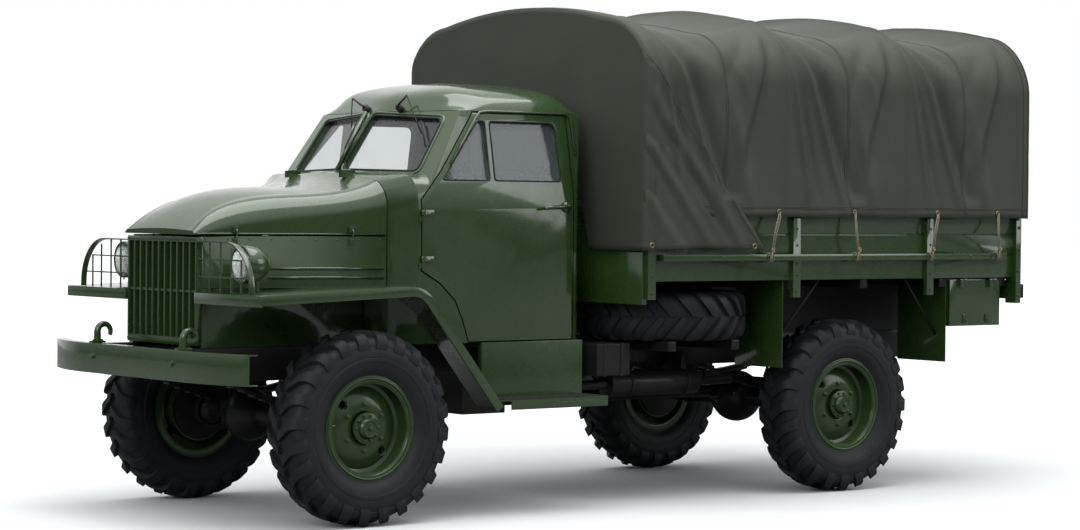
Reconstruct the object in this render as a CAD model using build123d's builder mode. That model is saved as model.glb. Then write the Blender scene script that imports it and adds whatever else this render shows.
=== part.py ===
"""Two-axle military cargo truck with a canvas-covered load bed, parked, as an assembly of named pieces.

Millimetres. X points forward, Y to the truck's left, Z up. The origin lies on the ground under the
middle of the truck's length and width.
"""

import os

from build123d import *

os.makedirs("parts", exist_ok=True)

# Layout: distances along the truck are taken from the front axle, positive ahead of it.
front_reach = 905.0
rear_reach = 5105.0
front_axle_x = (rear_reach - front_reach) / 2
wheelbase = 3580.0
rear_axle_x = front_axle_x - wheelbase
half_track = 895.0
seat_gap = 0.3
run_gap = 6.0

# Tyres and disc wheels.
tyre_radius = 535.0
tyre_half_width = 145.0
tread_half_width = 82.0
shoulder_radius = 498.0
shoulder_half_width = 132.0
sidewall_radius = 400.0
bead_radius = 256.0
bead_half_width = 98.0
flange_radius = 290.0
rim_half_width = 108.0
rim_inner_radius = 246.0
axle_z = tyre_radius
hub_radius = 72.0
spindle_radius = 38.0
drum_radius = 190.0
drum_wall = 12.0
drum_open = 125.0
stud_circle_radius = 111.0
stud_count = 6
hand_hole_radius = 26.0
hand_hole_circle = 186.0

# Ladder frame.
rail_outer_y = 430.0
rail_width = 65.0
rail_bottom = 780.0
rail_top = 960.0
rail_wall = 8.0
rail_front = front_axle_x + 835.0
rail_rear = front_axle_x - 4950.0
rail_mid_z = (rail_bottom + rail_top) / 2

# Front bumper and tow hooks.
bumper_face_x = front_axle_x + front_reach
bumper_half_width = 1033.0
bumper_flat = 560.0
bumper_sweep = 100.0
bumper_bottom = 790.0
bumper_top = 958.0
bumper_wall = 10.0
bumper_flange = 62.0
hook_y = 467.0
hook_x = bumper_face_x - 42.0
hook_bar = 13.0
hook_bend = 42.0

# Grille, radiator and front sheet metal.
grille_x = front_axle_x + 722.0
grille_half_width = 370.0
grille_bottom = 972.0
grille_top = 1567.0
grille_depth = 36.0
grille_bar = 15.0
grille_bars = 12
hood_bottom = 1580.0
hood_wall = 22.0
hood_front_x = front_axle_x + 738.0
hood_rear_x = front_axle_x - 342.0
cowl_front_x = hood_rear_x - run_gap
panel_wall = 18.0

# Front fenders and running boards.
fender_outer = 1040.0
fender_wall = 14.0
fender_lip = 52.0
fender_front_x = front_axle_x + 735.0
fender_front_z = 1265.0
fender_bend_x = front_axle_x - 335.0
fender_bend_z = 1306.0
fender_bend_radius = 170.0
fender_foot_x = front_axle_x - 880.0
fender_foot_z = 628.0
board_rear_x = front_axle_x - 1640.0
board_top = 662.0
board_height = 58.0

# Cab.
cab_wall = 40.0
cab_half_width = 800.0
cab_bottom = 975.0
cab_front_x = front_axle_x - 450.0
cab_rear_x = front_axle_x - 1690.0
cab_waist_z = 1740.0
cab_eave_half_width = cab_half_width - 95.0
cab_eave_z = 2255.0
cab_crown_z = 2475.0
cowl_top_z = 1936.0
screen_foot = (front_axle_x - 453.0, 0.0, 1945.0)
screen_normal = (0.8190, 0.1540, 0.5528)
screen_across = (-0.1755, 0.9843, -0.0141)
glass_wall = 6.0
door_gap = 9.0
sill_bottom = board_top - rail_wall

# Load bed.
bed_front_x = front_axle_x - 1820.0
bed_rear_x = front_axle_x - 4960.0
bed_half_width = 1120.0
bed_wall = 35.0
bed_floor_bottom = 1320.0
bed_floor_top = 1360.0
bed_side_top = 1725.0
sill_bottom_z = 1262.0
sill_width = 60.0
stake_width = 60.0
stake_depth = 30.0
lash_rail = 36.0
lash_rail_z = 1440.0

# Hinges of the hood, doors, tailgate and tool boxes.
knuckle_radius = 9.0
knuckle_length = 30.0
pin_bar = 5.0
leaf_sunk = 4.0

# Canvas cover.
canvas_overhang = 65.0
canvas_half_width = bed_half_width + canvas_overhang
canvas_hem_z = 1705.0
canvas_eave_z = 2500.0
canvas_shoulder_y = canvas_half_width - 385.0
canvas_shoulder_z = 2870.0
canvas_crown_z = 2955.0
canvas_wall = 10.0
bow_bar = 30.0


def save(part, name):
    """Name a piece and write it out."""
    part.label = name
    export_step(part, f"parts/{name}.step")


def other_side(part):
    """The same piece on the truck's other side."""
    return mirror(part, about=Plane.XZ)


def side_plane(y):
    """Drawing plane across the truck at y, with X to the right and Z up; it extrudes towards -Y."""
    return Plane(origin=(0, y, 0), x_dir=(1, 0, 0), z_dir=(0, -1, 0))


def cross_plane(x):
    """Drawing plane along the truck at x, with Y to the right and Z up; it extrudes towards +X."""
    return Plane(origin=(x, 0, 0), x_dir=(0, 1, 0), z_dir=(1, 0, 0))


def hinge_parts(points, direction):
    """Fixed knuckles with their pins, and the barrels that turn on them, along direction at each point."""
    step = Vector(*direction)
    with BuildPart() as fixed:
        for point in points:
            with BuildSketch(Plane(origin=point, z_dir=direction)):
                Circle(knuckle_radius)
            extrude(amount=knuckle_length, dir=-step)
            with BuildSketch(Plane(origin=point, z_dir=direction)):
                Circle(pin_bar)
            extrude(amount=knuckle_length + run_gap, dir=step)
    with BuildPart() as moving:
        for point in points:
            with BuildSketch(Plane(origin=Vector(*point) + step * run_gap, z_dir=direction)):
                Circle(knuckle_radius)
                Circle(pin_bar + seat_gap, mode=Mode.SUBTRACT)
            extrude(amount=knuckle_length, dir=step)
    return fixed.part, moving.part


# Tyre about the Y axis, out to the tips of its lugs.
with BuildPart() as tyre:
    with BuildSketch(Plane.YZ):
        with BuildLine():
            widest = (tyre_half_width, sidewall_radius)
            far_widest = (-tyre_half_width, sidewall_radius)
            seat = Line((-bead_half_width, bead_radius), (bead_half_width, bead_radius))
            bead = Line(seat @ 1, (bead_half_width, flange_radius + 4))
            TangentArc(widest, bead @ 1, tangent=(0, -1))
            wall = TangentArc(widest, (shoulder_half_width, shoulder_radius), tangent=(0, 1))
            shoulder = Line(wall @ 1, (tread_half_width, tyre_radius))
            tread = Line(shoulder @ 1, (-tread_half_width, tyre_radius))
            far_shoulder = Line(tread @ 1, (-shoulder_half_width, shoulder_radius))
            TangentArc(far_widest, far_shoulder @ 1, tangent=(0, 1))
            far_bead = Line((-bead_half_width, flange_radius + 4), seat @ 0)
            TangentArc(far_widest, far_bead @ 0, tangent=(0, -1))
        make_face()
    revolve(axis=Axis.Y)

# Disc wheel with rim, dished disc, hub and brake drum, its outer face towards +Y.
hub_bore_radius = spindle_radius + seat_gap
wheel_outline = [
    (104, 0),
    (104, 48),
    (92, 58),
    (74, 58),
    (74, 86),
    (60, 86),
    (60, hub_radius),
    (-30, hub_radius),
    (-30, 142),
    (6, 226),
    (12, rim_inner_radius),
    (94, rim_inner_radius),
    (rim_half_width, 256),
    (rim_half_width, flange_radius),
    (bead_half_width, flange_radius),
    (bead_half_width, bead_radius),
    (-bead_half_width, bead_radius),
    (-bead_half_width, flange_radius),
    (-rim_half_width, flange_radius),
    (-rim_half_width, rim_inner_radius),
    (-4, rim_inner_radius),
    (-8, 226),
    (-42, 138),
    (-42, drum_radius),
    (-drum_open, drum_radius),
    (-drum_open, drum_radius - drum_wall),
    (-54, drum_radius - drum_wall),
    (-54, hub_radius),
    (-118, hub_radius),
    (-118, hub_bore_radius),
    (56, hub_bore_radius),
    (56, 0),
]
with BuildPart() as wheel:
    with BuildSketch(Plane.YZ):
        with BuildLine():
            Polyline(wheel_outline, close=True)
        make_face()
    revolve(axis=Axis.Y)
    with BuildSketch(Plane.XZ.offset(30)):
        with PolarLocations(stud_circle_radius, stud_count):
            RegularPolygon(16, 6)
    extrude(amount=35, dir=(0, 1, 0))
    with BuildSketch(Plane.XZ.offset(40)):
        with PolarLocations(hand_hole_circle, 2, start_angle=45):
            Circle(hand_hole_radius)
    extrude(amount=120, dir=(0, 1, 0), mode=Mode.SUBTRACT)

for axle_name, axle_x in (("front", front_axle_x), ("rear", rear_axle_x)):
    for side_name, side in (("left", 1), ("right", -1)):
        turn = 0 if side == 1 else 180
        place = Location((axle_x, side * half_track, axle_z), (0, 0, turn))
        save(tyre.part.moved(place), f"tyre_{axle_name}_{side_name}")
        save(wheel.part.moved(place), f"wheel_{axle_name}_{side_name}")

# Spare wheel, lying flat under the bed ahead of the left rear wheel.
spare_x = front_axle_x - 2420.0
spare_y = 560.0
spare_z = rail_top + tyre_half_width + seat_gap
spare_place = Location((spare_x, spare_y, spare_z), (90, 0, 0))
save(tyre.part.moved(spare_place), "spare_tyre")
with BuildPart() as spare_disc:
    with BuildSketch(Plane.YZ):
        with BuildLine():
            Polyline(
                [
                    (-30, hub_radius + 6),
                    (-30, 142),
                    (6, 226),
                    (12, rim_inner_radius),
                    (94, rim_inner_radius),
                    (rim_half_width, 256),
                    (rim_half_width, flange_radius),
                    (bead_half_width, flange_radius),
                    (bead_half_width, bead_radius),
                    (-bead_half_width, bead_radius),
                    (-bead_half_width, flange_radius),
                    (-rim_half_width, flange_radius),
                    (-rim_half_width, rim_inner_radius),
                    (-4, rim_inner_radius),
                    (-8, 226),
                    (-42, 138),
                    (-42, hub_radius + 6),
                ],
                close=True,
            )
        make_face()
    revolve(axis=Axis.Y)
save(spare_disc.part.moved(spare_place), "spare_wheel")

# Ladder frame: two channel rails, five cross members and two outriggers under the spare wheel.
with BuildPart() as rail:
    with BuildSketch(cross_plane(rail_rear)):
        with Locations((rail_outer_y - rail_width / 2, rail_mid_z)):
            Rectangle(rail_width, rail_top - rail_bottom)
        with Locations((rail_outer_y - rail_width / 2 - rail_wall, rail_mid_z)):
            Rectangle(rail_width, rail_top - rail_bottom - 2 * rail_wall, mode=Mode.SUBTRACT)
    extrude(amount=rail_front - rail_rear)
with BuildPart() as rails:
    add(rail.part)
    mirror(about=Plane.XZ)
save(rails.part, "frame_rails")

cross_half = rail_outer_y - rail_wall
carrier_stations = [spare_x - 250.0, spare_x + 250.0]
cross_height = rail_top - rail_bottom - 2 * rail_wall
cross_stations = [front_axle_x + s for s in (600.0, -1640.0, -2900.0, -4150.0, -4925.0)]
with BuildPart() as cross_members:
    with Locations([(x, 0, rail_mid_z) for x in cross_stations]):
        Box(50, 2 * cross_half, cross_height)
    with Locations([(x, rail_outer_y, rail_top) for x in carrier_stations]):
        Box(60, 560, 60, align=(Align.CENTER, Align.MIN, Align.MAX))
save(cross_members.part, "frame_cross_members")

# Front bumper: a channel, flat in the middle and swept back at its ends.
bumper_sweep_mid = (bumper_flat + bumper_half_width) / 2


def bumper_band(depth):
    """Plan outline of the bumper, depth mm from its face backwards."""
    with BuildSketch() as band:
        with BuildLine():
            face = Line((bumper_face_x, -bumper_flat), (bumper_face_x, bumper_flat))
            left = ThreePointArc(
                face @ 1,
                (bumper_face_x - bumper_sweep * 0.27, bumper_sweep_mid),
                (bumper_face_x - bumper_sweep, bumper_half_width),
            )
            left_end = Line(left @ 1, (bumper_face_x - bumper_sweep - depth, bumper_half_width))
            left_back = ThreePointArc(
                left_end @ 1,
                (bumper_face_x - bumper_sweep * 0.27 - depth, bumper_sweep_mid),
                (bumper_face_x - depth, bumper_flat),
            )
            back = Line(left_back @ 1, (bumper_face_x - depth, -bumper_flat))
            right_back = ThreePointArc(
                back @ 1,
                (bumper_face_x - bumper_sweep * 0.27 - depth, -bumper_sweep_mid),
                (bumper_face_x - bumper_sweep - depth, -bumper_half_width),
            )
            right_end = Line(right_back @ 1, (bumper_face_x - bumper_sweep, -bumper_half_width))
            ThreePointArc(
                right_end @ 1,
                (bumper_face_x - bumper_sweep * 0.27, -bumper_sweep_mid),
                face @ 0,
            )
        make_face()
    return band.sketch


bumper_plate = bumper_band(bumper_wall)
bumper_lip = bumper_band(bumper_flange)
with BuildPart() as bumper:
    with BuildSketch(Plane.XY.offset(bumper_bottom)):
        add(bumper_plate)
    extrude(amount=bumper_top - bumper_bottom)
    for flange_z in (bumper_bottom, bumper_top - rail_wall):
        with BuildSketch(Plane.XY.offset(flange_z)):
            add(bumper_lip)
        extrude(amount=rail_wall)
    with Locations([(rail_front, side * (rail_outer_y - rail_width / 2), rail_mid_z) for side in (1, -1)]):
        Box(
            bumper_face_x - bumper_wall - rail_front,
            rail_width - 2 * rail_wall,
            rail_top - rail_bottom - 6 * rail_wall,
            align=(Align.MIN, Align.CENTER, Align.CENTER),
        )
save(bumper.part, "front_bumper")

# Tow hooks: a bent bar on a foot, open towards the back.
with BuildPart() as tow_hook:
    with BuildLine(side_plane(hook_y)):
        hook_path = FilletPolyline(
            (hook_x, bumper_top + 8),
            (hook_x, bumper_top + hook_bar + 2 * hook_bend),
            (hook_x - 2 * hook_bend, bumper_top + hook_bar + 2 * hook_bend),
            (hook_x - 2 * hook_bend, bumper_top + hook_bar + hook_bend * 0.9),
            radius=hook_bend * 0.8,
        )
    with BuildSketch(Plane.XY.offset(bumper_top + 8)):
        with Locations((hook_x, hook_y)):
            Circle(hook_bar)
    sweep(path=hook_path)
    with Locations((hook_x, hook_y, bumper_top)):
        Box(2 * hook_bend, 3 * hook_bar, 12, align=(Align.CENTER, Align.CENTER, Align.MIN))
with BuildPart() as tow_hooks:
    add(tow_hook.part)
    mirror(about=Plane.XZ)
save(tow_hooks.part, "tow_hooks")

# Grille of upright bars in a frame, with one bar across.
bar_pitch = (2 * grille_half_width - grille_bar) / (grille_bars - 1)
grille_height = grille_top - grille_bottom
with BuildPart() as grille:
    with Locations((grille_x - grille_depth / 2, 0, (grille_top + grille_bottom) / 2)):
        with GridLocations(1, bar_pitch, 1, grille_bars):
            Box(grille_depth, grille_bar, grille_height)
    for bar_z, bar_height, depth in (
        (grille_bottom + 20, 40, grille_depth),
        ((grille_bottom + grille_top) / 2, 14, grille_depth * 0.5),
        (grille_top - 14, 28, grille_depth),
    ):
        with Locations((grille_x - grille_depth / 2, 0, bar_z)):
            Box(depth, 2 * grille_half_width, bar_height)

radiator_front_x = grille_x - grille_depth
radiator_depth = 90.0
with BuildPart() as radiator:
    with Locations((radiator_front_x, 0, grille_bottom)):
        Box(
            radiator_depth,
            2 * (grille_half_width - 50),
            grille_top - grille_bottom,
            align=(Align.MAX, Align.CENTER, Align.MIN),
        )
save(radiator.part, "radiator")

# Hood and cowl sections: half width, top of the upright side, half width and height at the end of the
# corner arc, height at the middle.
hood_sections = [
    (hood_front_x, 372.0, 1586.0, 330.0, 1602.0, 1612.0),
    (front_axle_x + 640.0, 395.0, 1600.0, 300.0, 1682.0, 1706.0),
    (front_axle_x + 150.0, 510.0, 1665.0, 372.0, 1805.0, 1845.0),
    (hood_rear_x, 650.0, 1735.0, 490.0, 1895.0, 1935.0),
]
cowl_sections = [
    (cowl_front_x, 650.0, 1735.0, 490.0, 1895.0, 1935.0),
    (cab_front_x, cab_half_width, 1775.0, 655.0, 1928.0, 1947.0),
]


def body_section(x, half_width, side_top, corner_y, corner_z, crown, bottom, inset):
    """Face across the truck at x: upright sides, rounded corners and a gently arched top."""
    w = half_width - inset
    c = corner_y - inset * 0.3
    zs = side_top - inset * 0.3
    zc = corner_z - inset
    with BuildSketch(cross_plane(x)) as section:
        with BuildLine():
            base = Line((-w, bottom), (w, bottom))
            right = Line(base @ 1, (w, zs))
            right_corner = ThreePointArc(right @ 1, (c + 0.7 * (w - c), zs + 0.72 * (zc - zs)), (c, zc))
            top = ThreePointArc(right_corner @ 1, (0, crown - inset), (-c, zc))
            left_corner = ThreePointArc(top @ 1, (-c - 0.7 * (w - c), zs + 0.72 * (zc - zs)), (-w, zs))
            Line(left_corner @ 1, base @ 0)
        make_face()
    return section.sketch


hood_outer_faces = [body_section(*row, hood_bottom, 0).face() for row in hood_sections]
hood_inner_faces = [body_section(*row, hood_bottom - 40, hood_wall).face() for row in hood_sections]
hood_hinge_x = (hood_rear_x + cowl_front_x) / 2
hood_hinge_z = 1945.0
hood_hinge_points = [(hood_hinge_x, y, hood_hinge_z) for y in (-300.0, 260.0)]
hood_knuckles, hood_barrels = hinge_parts(hood_hinge_points, (0, 1, 0))
with BuildPart() as hood:
    loft(hood_outer_faces)
    loft(hood_inner_faces, mode=Mode.SUBTRACT)
    add(hood_barrels)
    for x, y, z in hood_hinge_points:
        with Locations((x + pin_bar + 2, y + run_gap, z)):
            Box(60, knuckle_length, 40, align=(Align.MIN, Align.MIN, Align.MAX))
    with Locations((hood_front_x, 0, hood_bottom)):
        Box(hood_wall, 660, 20, align=(Align.MAX, Align.CENTER, Align.MIN))
save(hood.part, "hood")

# Plan of the engine bay and cowl between the fenders, from the grille back to the doors.
bay_plan = [
    (grille_x, grille_half_width),
    (hood_rear_x, 650.0),
    (cab_front_x, cab_half_width),
    (cab_rear_x, cab_half_width),
]

# Upright side panels between the hood and the fenders.
panel_bottom = fender_front_z + 22.0
with BuildPart() as hood_side:
    with BuildSketch(Plane.XY.offset(panel_bottom)):
        with BuildLine():
            Polyline(
                (grille_x - grille_depth, grille_half_width),
                (hood_rear_x, bay_plan[1][1]),
                (hood_rear_x, bay_plan[1][1] - panel_wall),
                (grille_x - grille_depth, grille_half_width - panel_wall),
                close=True,
            )
        make_face()
    extrude(amount=hood_bottom - run_gap - panel_bottom)

fender_front = Vector(fender_front_x, fender_front_z)
fender_bend = Vector(fender_bend_x, fender_bend_z)
fender_foot = Vector(fender_foot_x, fender_foot_z)
fender_top_dir = (fender_bend - fender_front).normalized()
fender_back_dir = (fender_foot - fender_bend).normalized()


def fender_band(depth):
    """Side outline of the fender: its top line and a line depth mm under it."""
    top_under = Vector(-fender_top_dir.Y, fender_top_dir.X) * depth
    back_under = Vector(-fender_back_dir.Y, fender_back_dir.X) * depth
    bisector = (top_under + back_under).normalized()
    corner_under = bisector * (depth / bisector.dot(top_under.normalized()))
    with BuildSketch(side_plane(fender_outer)) as band:
        with BuildLine():
            upper = FilletPolyline(fender_front, fender_bend, fender_foot, radius=fender_bend_radius)
            lower = FilletPolyline(
                fender_front + top_under,
                fender_bend + corner_under,
                fender_foot + back_under,
                radius=fender_bend_radius - depth,
            )
            Line(upper @ 0, lower @ 0)
            Line(upper @ 1, lower @ 1)
        make_face()
    return band.sketch


fender_inner = 340.0
with BuildPart() as bay_block:
    with BuildSketch():
        with BuildLine():
            Polyline(
                (grille_x + 100, 0),
                (grille_x + 100, bay_plan[0][1] + seat_gap),
                (bay_plan[0][0], bay_plan[0][1] + seat_gap),
                (bay_plan[1][0], bay_plan[1][1] + seat_gap),
                (bay_plan[2][0], bay_plan[2][1] + seat_gap),
                (bay_plan[3][0], bay_plan[3][1] + seat_gap),
                (bay_plan[3][0], 0),
                close=True,
            )
        make_face()
    extrude(amount=cab_crown_z)
fender_sheet = fender_band(fender_wall)
fender_rim = fender_band(fender_lip)
with BuildPart() as fender:
    extrude(fender_sheet, amount=fender_outer - fender_inner, dir=(0, -1, 0))
    extrude(fender_rim, amount=fender_wall, dir=(0, -1, 0))
    with Locations((fender_front_x, fender_outer, fender_front_z - fender_wall / 2)):
        Box(
            fender_wall,
            fender_outer - fender_inner,
            fender_lip,
            align=(Align.MAX, Align.MAX, Align.MAX),
        )
    add(bay_block.part, mode=Mode.SUBTRACT)
with BuildPart() as fenders:
    add(fender.part)
    mirror(about=Plane.XZ)
save(fenders.part, "fenders")

# Aprons that close the engine bay below the fenders, down to the frame.
with BuildPart() as apron:
    with BuildSketch(Plane.XY.offset(rail_top)):
        with BuildLine():
            Polyline(
                (grille_x - grille_depth, grille_half_width),
                (hood_rear_x, rail_outer_y - 10),
                (hood_rear_x, rail_outer_y - 10 - panel_wall),
                (grille_x - grille_depth, grille_half_width - panel_wall),
                close=True,
            )
        make_face()
    extrude(amount=panel_bottom - rail_top)
with BuildPart() as bay_sides:
    add(hood_side.part)
    add(apron.part)
    mirror(about=Plane.XZ)
save(bay_sides.part, "engine_bay_sides")

# Cab: one hollow form, parted into roof, front, back and doors along the real panel gaps.
roof_split_z = 2290.0
door_bottom = 983.0
door_rear_x = front_axle_x - 1570.0
cab_length = cab_front_x - cab_rear_x
roof_mid_x = front_axle_x - 1300.0
nape_foot_x = cab_rear_x - 30.0
eave_mid_y = cab_eave_half_width - 69.0
crown_edge_y = cab_eave_half_width - 225.0


def screen_wedge(inset):
    """Everything ahead of the left half of the windscreen and over the cowl, moved in by inset."""
    foot = Vector(*screen_foot) - Vector(*screen_normal) * inset
    cowl_face = body_section(*cowl_sections[1], cab_bottom, inset)
    with BuildPart() as wedge:
        with BuildSketch(Plane(origin=foot, x_dir=screen_across, z_dir=screen_normal)):
            Rectangle(2600, 2400)
        extrude(amount=900)
        with Locations((cab_front_x, 0, cab_waist_z - inset)):
            Box(2400, 1500, 1200, align=(Align.CENTER, Align.MIN, Align.MIN), mode=Mode.INTERSECT)
        extrude(cowl_face, amount=500, dir=(1, 0, 0), both=True, mode=Mode.SUBTRACT)
    return wedge.part


def cab_form(inset, bottom):
    """Solid of the cab behind the cowl with every wall moved in by inset, reaching down to bottom."""
    wedge = screen_wedge(inset)
    cowl_face = body_section(*cowl_sections[1], bottom, inset)
    with BuildPart() as form:
        with BuildSketch(side_plane(cab_half_width + 100)):
            with BuildLine():
                front = Line((cab_front_x, bottom - inset), (cab_front_x, cowl_top_z + 30))
                brow = Line(front @ 1, (front_axle_x - 625, 2318))
                roof = ThreePointArc(brow @ 1, (front_axle_x - 900, 2437), (roof_mid_x, cab_crown_z))
                nape = ThreePointArc(roof @ 1, (front_axle_x - 1610, 2428), (nape_foot_x, roof_split_z - 10))
                back = Line(nape @ 1, (nape_foot_x, bottom - inset))
                Line(back @ 1, front @ 0)
            make_face()
            if inset:
                offset(amount=-inset, mode=Mode.REPLACE)
        extrude(amount=2 * (cab_half_width + 100))
        with BuildSketch(cross_plane(cab_rear_x - 100)):
            with BuildLine():
                lower = Line((cab_half_width, bottom - inset), (cab_half_width, cab_waist_z))
                upper = Line(lower @ 1, (cab_eave_half_width, cab_eave_z))
                eave = ThreePointArc(upper @ 1, (eave_mid_y, 2372), (crown_edge_y, 2434))
                crown = ThreePointArc(eave @ 1, (0, cab_crown_z), (-crown_edge_y, 2434))
                far_eave = ThreePointArc(crown @ 1, (-eave_mid_y, 2372), (-cab_eave_half_width, cab_eave_z))
                far_upper = Line(far_eave @ 1, (-cab_half_width, cab_waist_z))
                far_lower = Line(far_upper @ 1, (-cab_half_width, bottom - inset))
                Line(far_lower @ 1, lower @ 0)
            make_face()
            if inset:
                offset(amount=-inset, mode=Mode.REPLACE)
        extrude(amount=cab_length + 200, mode=Mode.INTERSECT)
        with BuildSketch(Plane.XY.offset(bottom - 100)) as plan:
            with Locations(((cab_front_x + cab_rear_x) / 2, 0)):
                Rectangle(cab_length, 2 * cab_half_width)
            fillet(plan.vertices().group_by(Axis.X)[0], 180)
            if inset:
                offset(amount=-inset, mode=Mode.REPLACE)
        extrude(amount=cab_crown_z, mode=Mode.INTERSECT)
        add(wedge, mode=Mode.SUBTRACT)
        mirror(wedge, about=Plane.XZ, mode=Mode.SUBTRACT)
        if inset:
            extrude(cowl_face, amount=inset + 20, dir=(1, 0, 0), both=True)
    return form.part


cowl_outer_faces = [body_section(*row, cab_bottom, 0).face() for row in cowl_sections]
cowl_inner_faces = [
    body_section(cowl_front_x - cab_wall, *cowl_sections[0][1:], cab_bottom - 50, cab_wall).face(),
    body_section(*cowl_sections[1], cab_bottom - 50, cab_wall).face(),
]
with BuildPart() as cowl:
    loft(cowl_outer_faces, ruled=True)
    loft(cowl_inner_faces, ruled=True, mode=Mode.SUBTRACT)
    add(hood_knuckles)
    for x, y, z in hood_hinge_points:
        with Locations((x, y, z)):
            Box(50, knuckle_length, 34, align=(Align.MAX, Align.MAX, Align.MAX))
save(cowl.part, "cab_cowl")

door_outline = [
    (front_axle_x - 482, 1388),
    (front_axle_x - 482, 1780),
    (front_axle_x - 640, 1945),
    (front_axle_x - 940, 2332),
    (door_rear_x, 2332),
    (door_rear_x, door_bottom),
    (front_axle_x - 812, door_bottom),
    (front_axle_x - 770, 1108),
    (front_axle_x - 715, 1220),
    (front_axle_x - 610, 1316),
]
door_reach = 320.0


def door_block(grow):
    """Block through the left wall in the outline of the door, grown by grow mm, past the roof joint."""
    with BuildPart() as block:
        with BuildSketch(side_plane(cab_half_width + 100)):
            with BuildLine():
                Polyline(door_outline, close=True)
            make_face()
            if grow:
                offset(amount=grow, kind=Kind.INTERSECTION, mode=Mode.REPLACE)
        extrude(amount=door_reach)
    return block.part


window_outlines = [
    [
        (front_axle_x - 640, 1895),
        (front_axle_x - 925, 2235),
        (front_axle_x - 975, 2235),
        (front_axle_x - 975, 1895),
    ],
    [
        (front_axle_x - 1010, 1895),
        (front_axle_x - 1010, 2235),
        (front_axle_x - 1460, 2235),
        (front_axle_x - 1490, 2200),
        (front_axle_x - 1490, 1895),
    ],
]
with BuildPart() as window_block:
    with BuildSketch(side_plane(cab_half_width + 100)):
        for outline in window_outlines:
            with BuildLine():
                Polyline(outline, close=True)
            make_face()
    extrude(amount=door_reach)

screen_outline = [(26, 14), (632, 10), (632, 372), (58, 396)]
screen_plane = Plane(
    origin=Vector(*screen_foot) - Vector(*screen_normal) * 150,
    x_dir=screen_across,
    z_dir=screen_normal,
)
with BuildPart() as screen_block:
    with BuildSketch(screen_plane) as pane:
        with BuildLine():
            Polyline(screen_outline, close=True)
        make_face()
        fillet(pane.vertices(), 28)
    extrude(amount=300)
back_window_z = 2080.0
with BuildPart() as back_window_block:
    with BuildSketch(cross_plane(cab_rear_x - 60)):
        with Locations((0, back_window_z)):
            RectangleRounded(760, 260, 60)
    extrude(amount=200)

cab_outer = cab_form(0, cab_bottom)
cab_inner = cab_form(cab_wall, cab_bottom - 100)
with BuildPart() as cab_shell:
    add(cab_outer)
    add(cab_inner, clean=False, mode=Mode.SUBTRACT)
door_cut = door_block(0)
door_hinge_x = door_outline[0][0] + door_gap / 2
door_hinge_y = cab_half_width + knuckle_radius + 3
door_hinge_points = [(door_hinge_x, door_hinge_y, z) for z in (1430.0, 1690.0)]
door_knuckles, door_barrels = hinge_parts(door_hinge_points, (0, 0, 1))
with BuildPart() as door_leaves:
    add(door_knuckles)
    for x, y, z in door_hinge_points:
        with Locations((x, cab_half_width - leaf_sunk, z)):
            Box(
                cab_front_x - x - 2,
                door_hinge_y - cab_half_width + leaf_sunk,
                knuckle_length,
                align=(Align.MIN, Align.MIN, Align.MAX),
            )
other_door_leaves = other_side(door_leaves.part)
with BuildPart() as door:
    add(cab_shell.part)
    add(door_cut, clean=False, mode=Mode.INTERSECT)
    with Locations((cab_front_x, 0, roof_split_z - door_gap)):
        Box(3000, 2000, 500, align=(Align.CENTER, Align.CENTER, Align.MIN), mode=Mode.SUBTRACT)
    add(window_block.part, clean=False, mode=Mode.SUBTRACT)
    add(door_barrels)
    for x, y, z in door_hinge_points:
        with Locations((x - pin_bar - 2, cab_half_width - leaf_sunk, z + run_gap)):
            Box(
                70,
                door_hinge_y - cab_half_width + leaf_sunk,
                knuckle_length,
                align=(Align.MAX, Align.MIN, Align.MIN),
            )
save(door.part, "door_left")
save(other_side(door.part), "door_right")

doorway_cut = door_block(door_gap)
other_doorway_cut = other_side(doorway_cut)
other_screen_block = other_side(screen_block.part)
doorway_cuts = [doorway_cut, other_doorway_cut]
cab_mid_x = (cab_front_x + cab_rear_x) / 2
cab_pieces = [
    ("cab_roof", cab_rear_x - 50, cab_front_x + 50, roof_split_z, cab_crown_z + 50, [], []),
    (
        "cab_front",
        cab_mid_x,
        cab_front_x + 50,
        cab_bottom - 50,
        roof_split_z,
        [*doorway_cuts, screen_block.part, other_screen_block],
        [door_leaves.part, other_door_leaves],
    ),
    (
        "cab_back",
        cab_rear_x - 50,
        cab_mid_x,
        cab_bottom - 50,
        roof_split_z,
        [*doorway_cuts, back_window_block.part],
        [],
    ),
]
for piece_name, back_x, front_x, low_z, high_z, cuts, fittings in cab_pieces:
    with BuildPart() as piece:
        with Locations(((back_x + front_x) / 2, 0, (low_z + high_z) / 2)):
            Box(front_x - back_x, 2 * cab_half_width + 100, high_z - low_z)
        add(cab_shell.part, clean=False, mode=Mode.INTERSECT)
        for cut in cuts:
            add(cut, clean=False, mode=Mode.SUBTRACT)
        for fitting in fittings:
            add(fitting, clean=False)
    save(piece.part, piece_name)

glass_in = (cab_wall - glass_wall) / 2
glass_face = cab_form(glass_in, cab_bottom)
glass_back = cab_form(glass_in + glass_wall, cab_bottom - 100)
with BuildPart() as glass_shell:
    add(glass_face)
    add(glass_back, clean=False, mode=Mode.SUBTRACT)
with BuildPart() as door_glass:
    add(glass_shell.part)
    add(window_block.part, mode=Mode.INTERSECT)
save(door_glass.part, "door_glass_left")
save(other_side(door_glass.part), "door_glass_right")
with BuildPart() as screen_glass:
    add(glass_shell.part)
    add(screen_block.part, mode=Mode.INTERSECT)
    mirror(about=Plane.XZ)
with BuildPart() as back_glass:
    add(glass_shell.part)
    add(back_window_block.part, mode=Mode.INTERSECT)
with BuildPart() as cab_glass:
    add(screen_glass.part)
    add(back_glass.part)
save(cab_glass.part, "cab_glass")

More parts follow.
